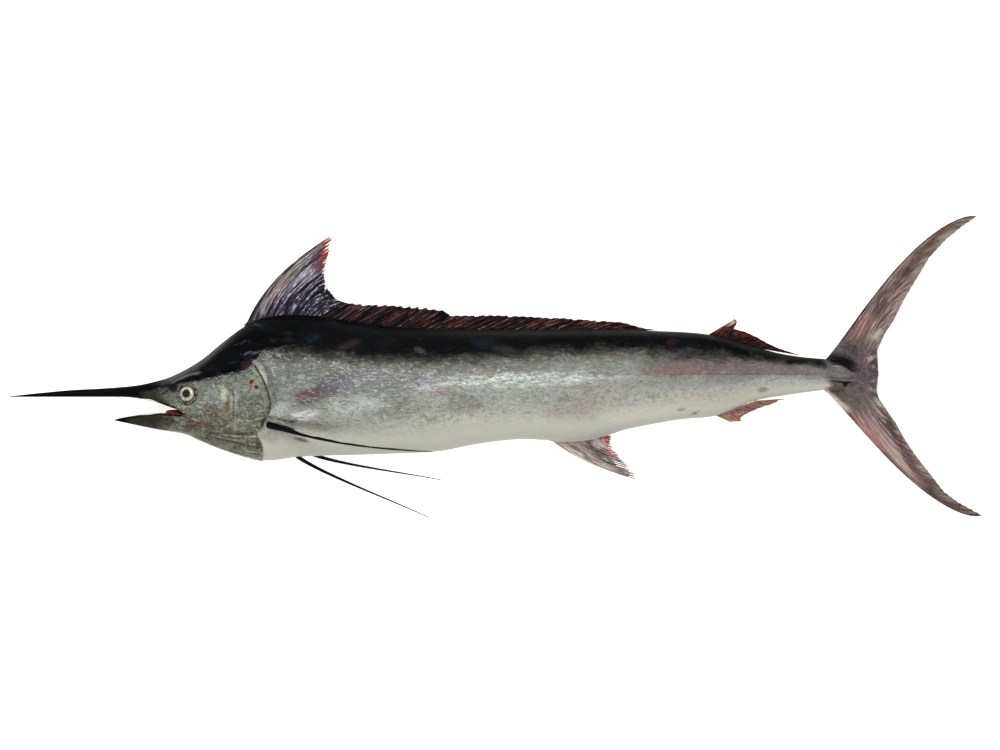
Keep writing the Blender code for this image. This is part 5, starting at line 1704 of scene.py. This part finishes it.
ANAL = fin_finish(
    "anal_membrane",
    ((0, (196, 184, 170)), (0.12, (196, 180, 170)), (0.24, (140, 124, 122)), (0.5, (112, 100, 100)),
     (0.75, (128, 98, 94)), (1, (168, 108, 100))),
    root=((186, 166, 158), 0.5), streak=((206, 196, 190), 0.8), dark=((52, 46, 50), 0.85),
    glint=((236, 230, 224), 0.9), red=((84, 70, 68), 0.85, 1.1), cream=((110, 100, 94), 0.97, 1.2),
    rib=((150, 134, 126), 0.5))
SMALL_ANAL = fin_finish(
    "second_anal_membrane",
    ((0, (164, 116, 106)), (0.3, (140, 82, 76)), (0.6, (116, 70, 66)), (1, (120, 92, 84))),
    root=((160, 140, 126), 0.6), streak=((176, 146, 132), 0.6), dark=((74, 40, 38), 0.6),
    glint=((206, 186, 170), 0.5), red=((120, 76, 66), 0.8, 1.0), cream=((176, 156, 140), 0.95, 1.15),
    rib=((140, 104, 92), 0.5))
TAIL = fin_finish(
    "tail_membrane",
    ((0, (12, 11, 12)), (0.02, (36, 28, 27)), (0.05, (122, 96, 88)), (0.12, (150, 124, 116)),
     (0.3, (140, 116, 110)), (0.55, (120, 100, 98)), (0.8, (98, 84, 86)), (1, (84, 76, 76))),
    root=((96, 88, 88), 0.5), streak=((196, 176, 168), 0.65), dark=((74, 54, 58), 0.7),
    glint=((206, 196, 182), 0.4), red=((124, 104, 98), 0.88, 1.05), cream=((136, 134, 120), 0.95, 1.06),
    rib=((110, 90, 88), 0.4), shared=True)
PAIRED = fin_finish(
    "black_fin_skin",
    ((0, (9, 8, 10)), (0.3, (15, 12, 16)), (1, (20, 17, 21))),
    root=((14, 12, 16), 0.5), streak=((48, 40, 48), 0.5), dark=((5, 4, 6), 0.6), glint=((80, 74, 80), 0.25),
    red=((24, 18, 20), 0.9, 1.1), cream=((34, 28, 28), 1.0, 1.3), rib=((20, 17, 21), 0.5))
print("fin finishes:", *[finish.name for finish in (DORSAL, STRIP, SECOND, ANAL, SMALL_ANAL, TAIL, PAIRED)])

# %% The fins along the back
DORSAL_LOBE = (
    (502, 158, 676, 339), (521, 164, 679, 331), (539, 167, 675, 314), (551, 168, 671, 296),
    (566, 169, 665, 277), (581, 169, 663, 260), (597, 169, 665, 237), (616, 169, 676, 218),
    (637, 168, 688, 204), (663, 165, 718, 195))
DORSAL_STRIP = (
    (648, 166, 704, 198), (690, 161, 747, 194), (719, 156, 780, 195), (810, 145, 872, 189),
    (858, 143, 918, 181), (870, 142, 927, 171), (967, 141, 1030, 172), (1097, 139, 1160, 166),
    (1232, 140, 1289, 157), (1282, 140, 1335, 143.5), (1316, 139.5, 1362, 140))
SECOND_DORSAL = (
    (1469, 130, 1523, 163.5), (1475, 129, 1529, 160.5), (1481, 128, 1527, 152), (1488, 127, 1522, 143),
    (1496, 125, 1530, 140.5), (1510, 121, 1549, 136), (1530, 116, 1570, 126), (1550, 110, 1592, 113),
    (1560, 106.5, 1617, 101.5), (1572, 102.5, 1664, 86))

make_fin("first_dorsal_lobe", Fan(*level(DORSAL_LOBE, 10), bow=(0.078, 0.45)), 24, (2.6, 0.7), DORSAL,
         "first_dorsal_lobe", rows=64, notch=0.02, torn=0.05, sag=1.6, sink=0.05,
         patches=DORSAL_PATCHES)
make_fin("first_dorsal_strip", Fan(*level(DORSAL_STRIP, 3)), 40, (1.9, 0.55), STRIP,
         "first_dorsal_strip", rows=20, notch=0.05, torn=0.08, sag=1.4, split=0.7, sink=0.12)
make_fin("second_dorsal", Fan(*level(SECOND_DORSAL)), 11, (1.4, 0.5), SECOND,
         "second_dorsal_fin", rows=24, notch=0.02, torn=0.05, sag=0.8, sink=0.1,
         patches=SECOND_PATCHES)

# %% The fins under the tail
FIRST_ANAL = (
    (1140, -91, 1318, -174.5), (1156, -90, 1314, -162), (1170, -90, 1307, -150), (1185, -90, 1297, -139),
    (1200, -89, 1280, -122), (1213, -87, 1269, -113), (1226, -84, 1264, -103), (1238, -81, 1262, -93),
    (1250, -78, 1265, -84))
SECOND_ANAL = (
    (1484, -39, 1514, -53), (1494, -36, 1538, -52), (1504, -33, 1536, -44), (1518, -28, 1550, -36),
    (1535, -22, 1575, -25), (1552, -16, 1600, -17), (1572, -9, 1632, -4))

make_fin("first_anal", Fan(*level(FIRST_ANAL, 10), bow=(-0.05, 0.45)), 18, (2.4, 0.7), ANAL,
         "first_anal_fin", notch=0.07, torn=0.16, sag=1.3, sink=0.05,
         patches=ANAL_PATCHES)
make_fin("second_anal", Fan(*level(SECOND_ANAL)), 9, (1.4, 0.5), SMALL_ANAL, "second_anal_fin",
         rows=24, notch=0.04, torn=0.12, sag=0.7, sink=0.12)

# %% The tail fin
TAIL_UPPER = (
    (1716, 77, 2034, 379), (1735, 75, 2004, 359), (1750, 73, 1967, 329), (1762, 71, 1933, 292),
    (1771, 68, 1907, 249), (1778, 65, 1878, 201), (1783, 62, 1859, 162), (1787, 58, 1839, 132),
    (1789, 54, 1823, 97), (1790, 43, 1826, 44))
TAIL_LOWER = (
    (1714, 15, 2045, -249), (1728, 18, 1995, -222), (1745, 21, 1964, -199), (1758, 23, 1936, -163),
    (1769, 26, 1908, -128), (1777, 29, 1880, -87), (1783, 33, 1862, -54), (1787, 37, 1840, -23),
    (1788, 40, 1826, -2), (1789, 44, 1822, 14), (1790, 52, 1826, 51))

for name, rays, bow in (("tail_fin_upper", TAIL_UPPER, (0.092, 0.67)),
                        ("tail_fin_lower", TAIL_LOWER, (-0.088, 0.68))):
    make_fin(name, Fan(*level(rays), bow=bow), 30, (3.4, 0.8), TAIL, name, rows=70, notch=0.001,
             sag=0.9, split=0.35, sink=0.02, ray_share=0.9, crowd=1.3, patches=TAIL_PATCHES)

# %% [markdown]
# The paired fins are black and stiff. A black marlin's pectoral fins cannot fold flat against its body, so
# the left one stands up off the flank and the camera sees it edge on. The right one lies under the belly.
# The pelvic fins are two long thin straps, each of a few rays grown together.

# %% Pectoral and pelvic fins
PECTORAL_KEYS = (
    (552, -60, 888, -114.7, 76), (559, -62, 862, -113, 66), (567, -64, 820, -110, 54),
    (576, -66, 765, -105, 42), (585, -68, 705, -97, 30), (592, -70, 650, -85, 20))
PECTORAL_SAG = 0.035
FOLDED_KEYS = (
    (545, -62, 886, -109), (553, -60, 862, -102), (562, -58, 820, -93), (571, -56, 765, -83),
    (580, -54, 705, -74), (588, -52, 650, -66))
FOLDED_HEIGHT = 5.5
PELVIC_LEFT = ((596, -119, 881, -253.7), (600, -119.5, 880, -253), (604, -120, 877, -251.5))
PELVIC_RIGHT = ((628, -117, 906, -175), (633, -117, 904, -174.5), (638, -117, 900, -173.8))
PELVIC_BOW = (-0.025, 0.25)
PELVIC_ROLL, PELVIC_DROOP = 7, 12

rx, ry, tx, ty, out = np.array(PECTORAL_KEYS, float).T
roots = world(rx, ry, flank(rx, ry))
tips = roots + np.stack((tx - rx, ty - ry, out), -1) * MM
make_fin("pectoral_left", Fan(roots, tips, (0, 1, 0), (-0.10, 0.4), -PECTORAL_SAG), 14, (17, 2), PAIRED,
         "pectoral_fin_left", rows=64, notch=0.012, sag=0.5, split=0.6, sink=0.03,
         ray_share=0.42, taper=4.0)
rx, ry, tx, ty = np.array(FOLDED_KEYS, float).T
roots, tips = [world(x, y, FOLDED_HEIGHT - LIE(x)) for x, y in ((rx, ry), (tx, ty))]
make_fin("pectoral_right", Fan(roots, tips, (0, 0, 1), (-0.03, 0.5)), 14, (2.6, 0.8), PAIRED,
         "pectoral_fin_right", notch=0.012, sag=0.4, split=0.6, sink=0.01)
for hand, keys, side in (("left", PELVIC_LEFT, 1), ("right", PELVIC_RIGHT, -1)):
    rx, ry, tx, ty = np.array(keys, float).T
    roll = PELVIC_ROLL * side
    roots = world(rx, ry, 0 * rx + roll)
    tips = world(tx, ty, 0 * tx + 2.5 * roll - PELVIC_DROOP)
    make_fin(f"pelvic_{hand}", Fan(roots, tips, bow=PELVIC_BOW, arch=0.01), 4, (2.9, 0.8), PAIRED,
             f"pelvic_fin_{hand}", rows=60, notch=0.02, sag=0.3, split=1, sink=0.04)
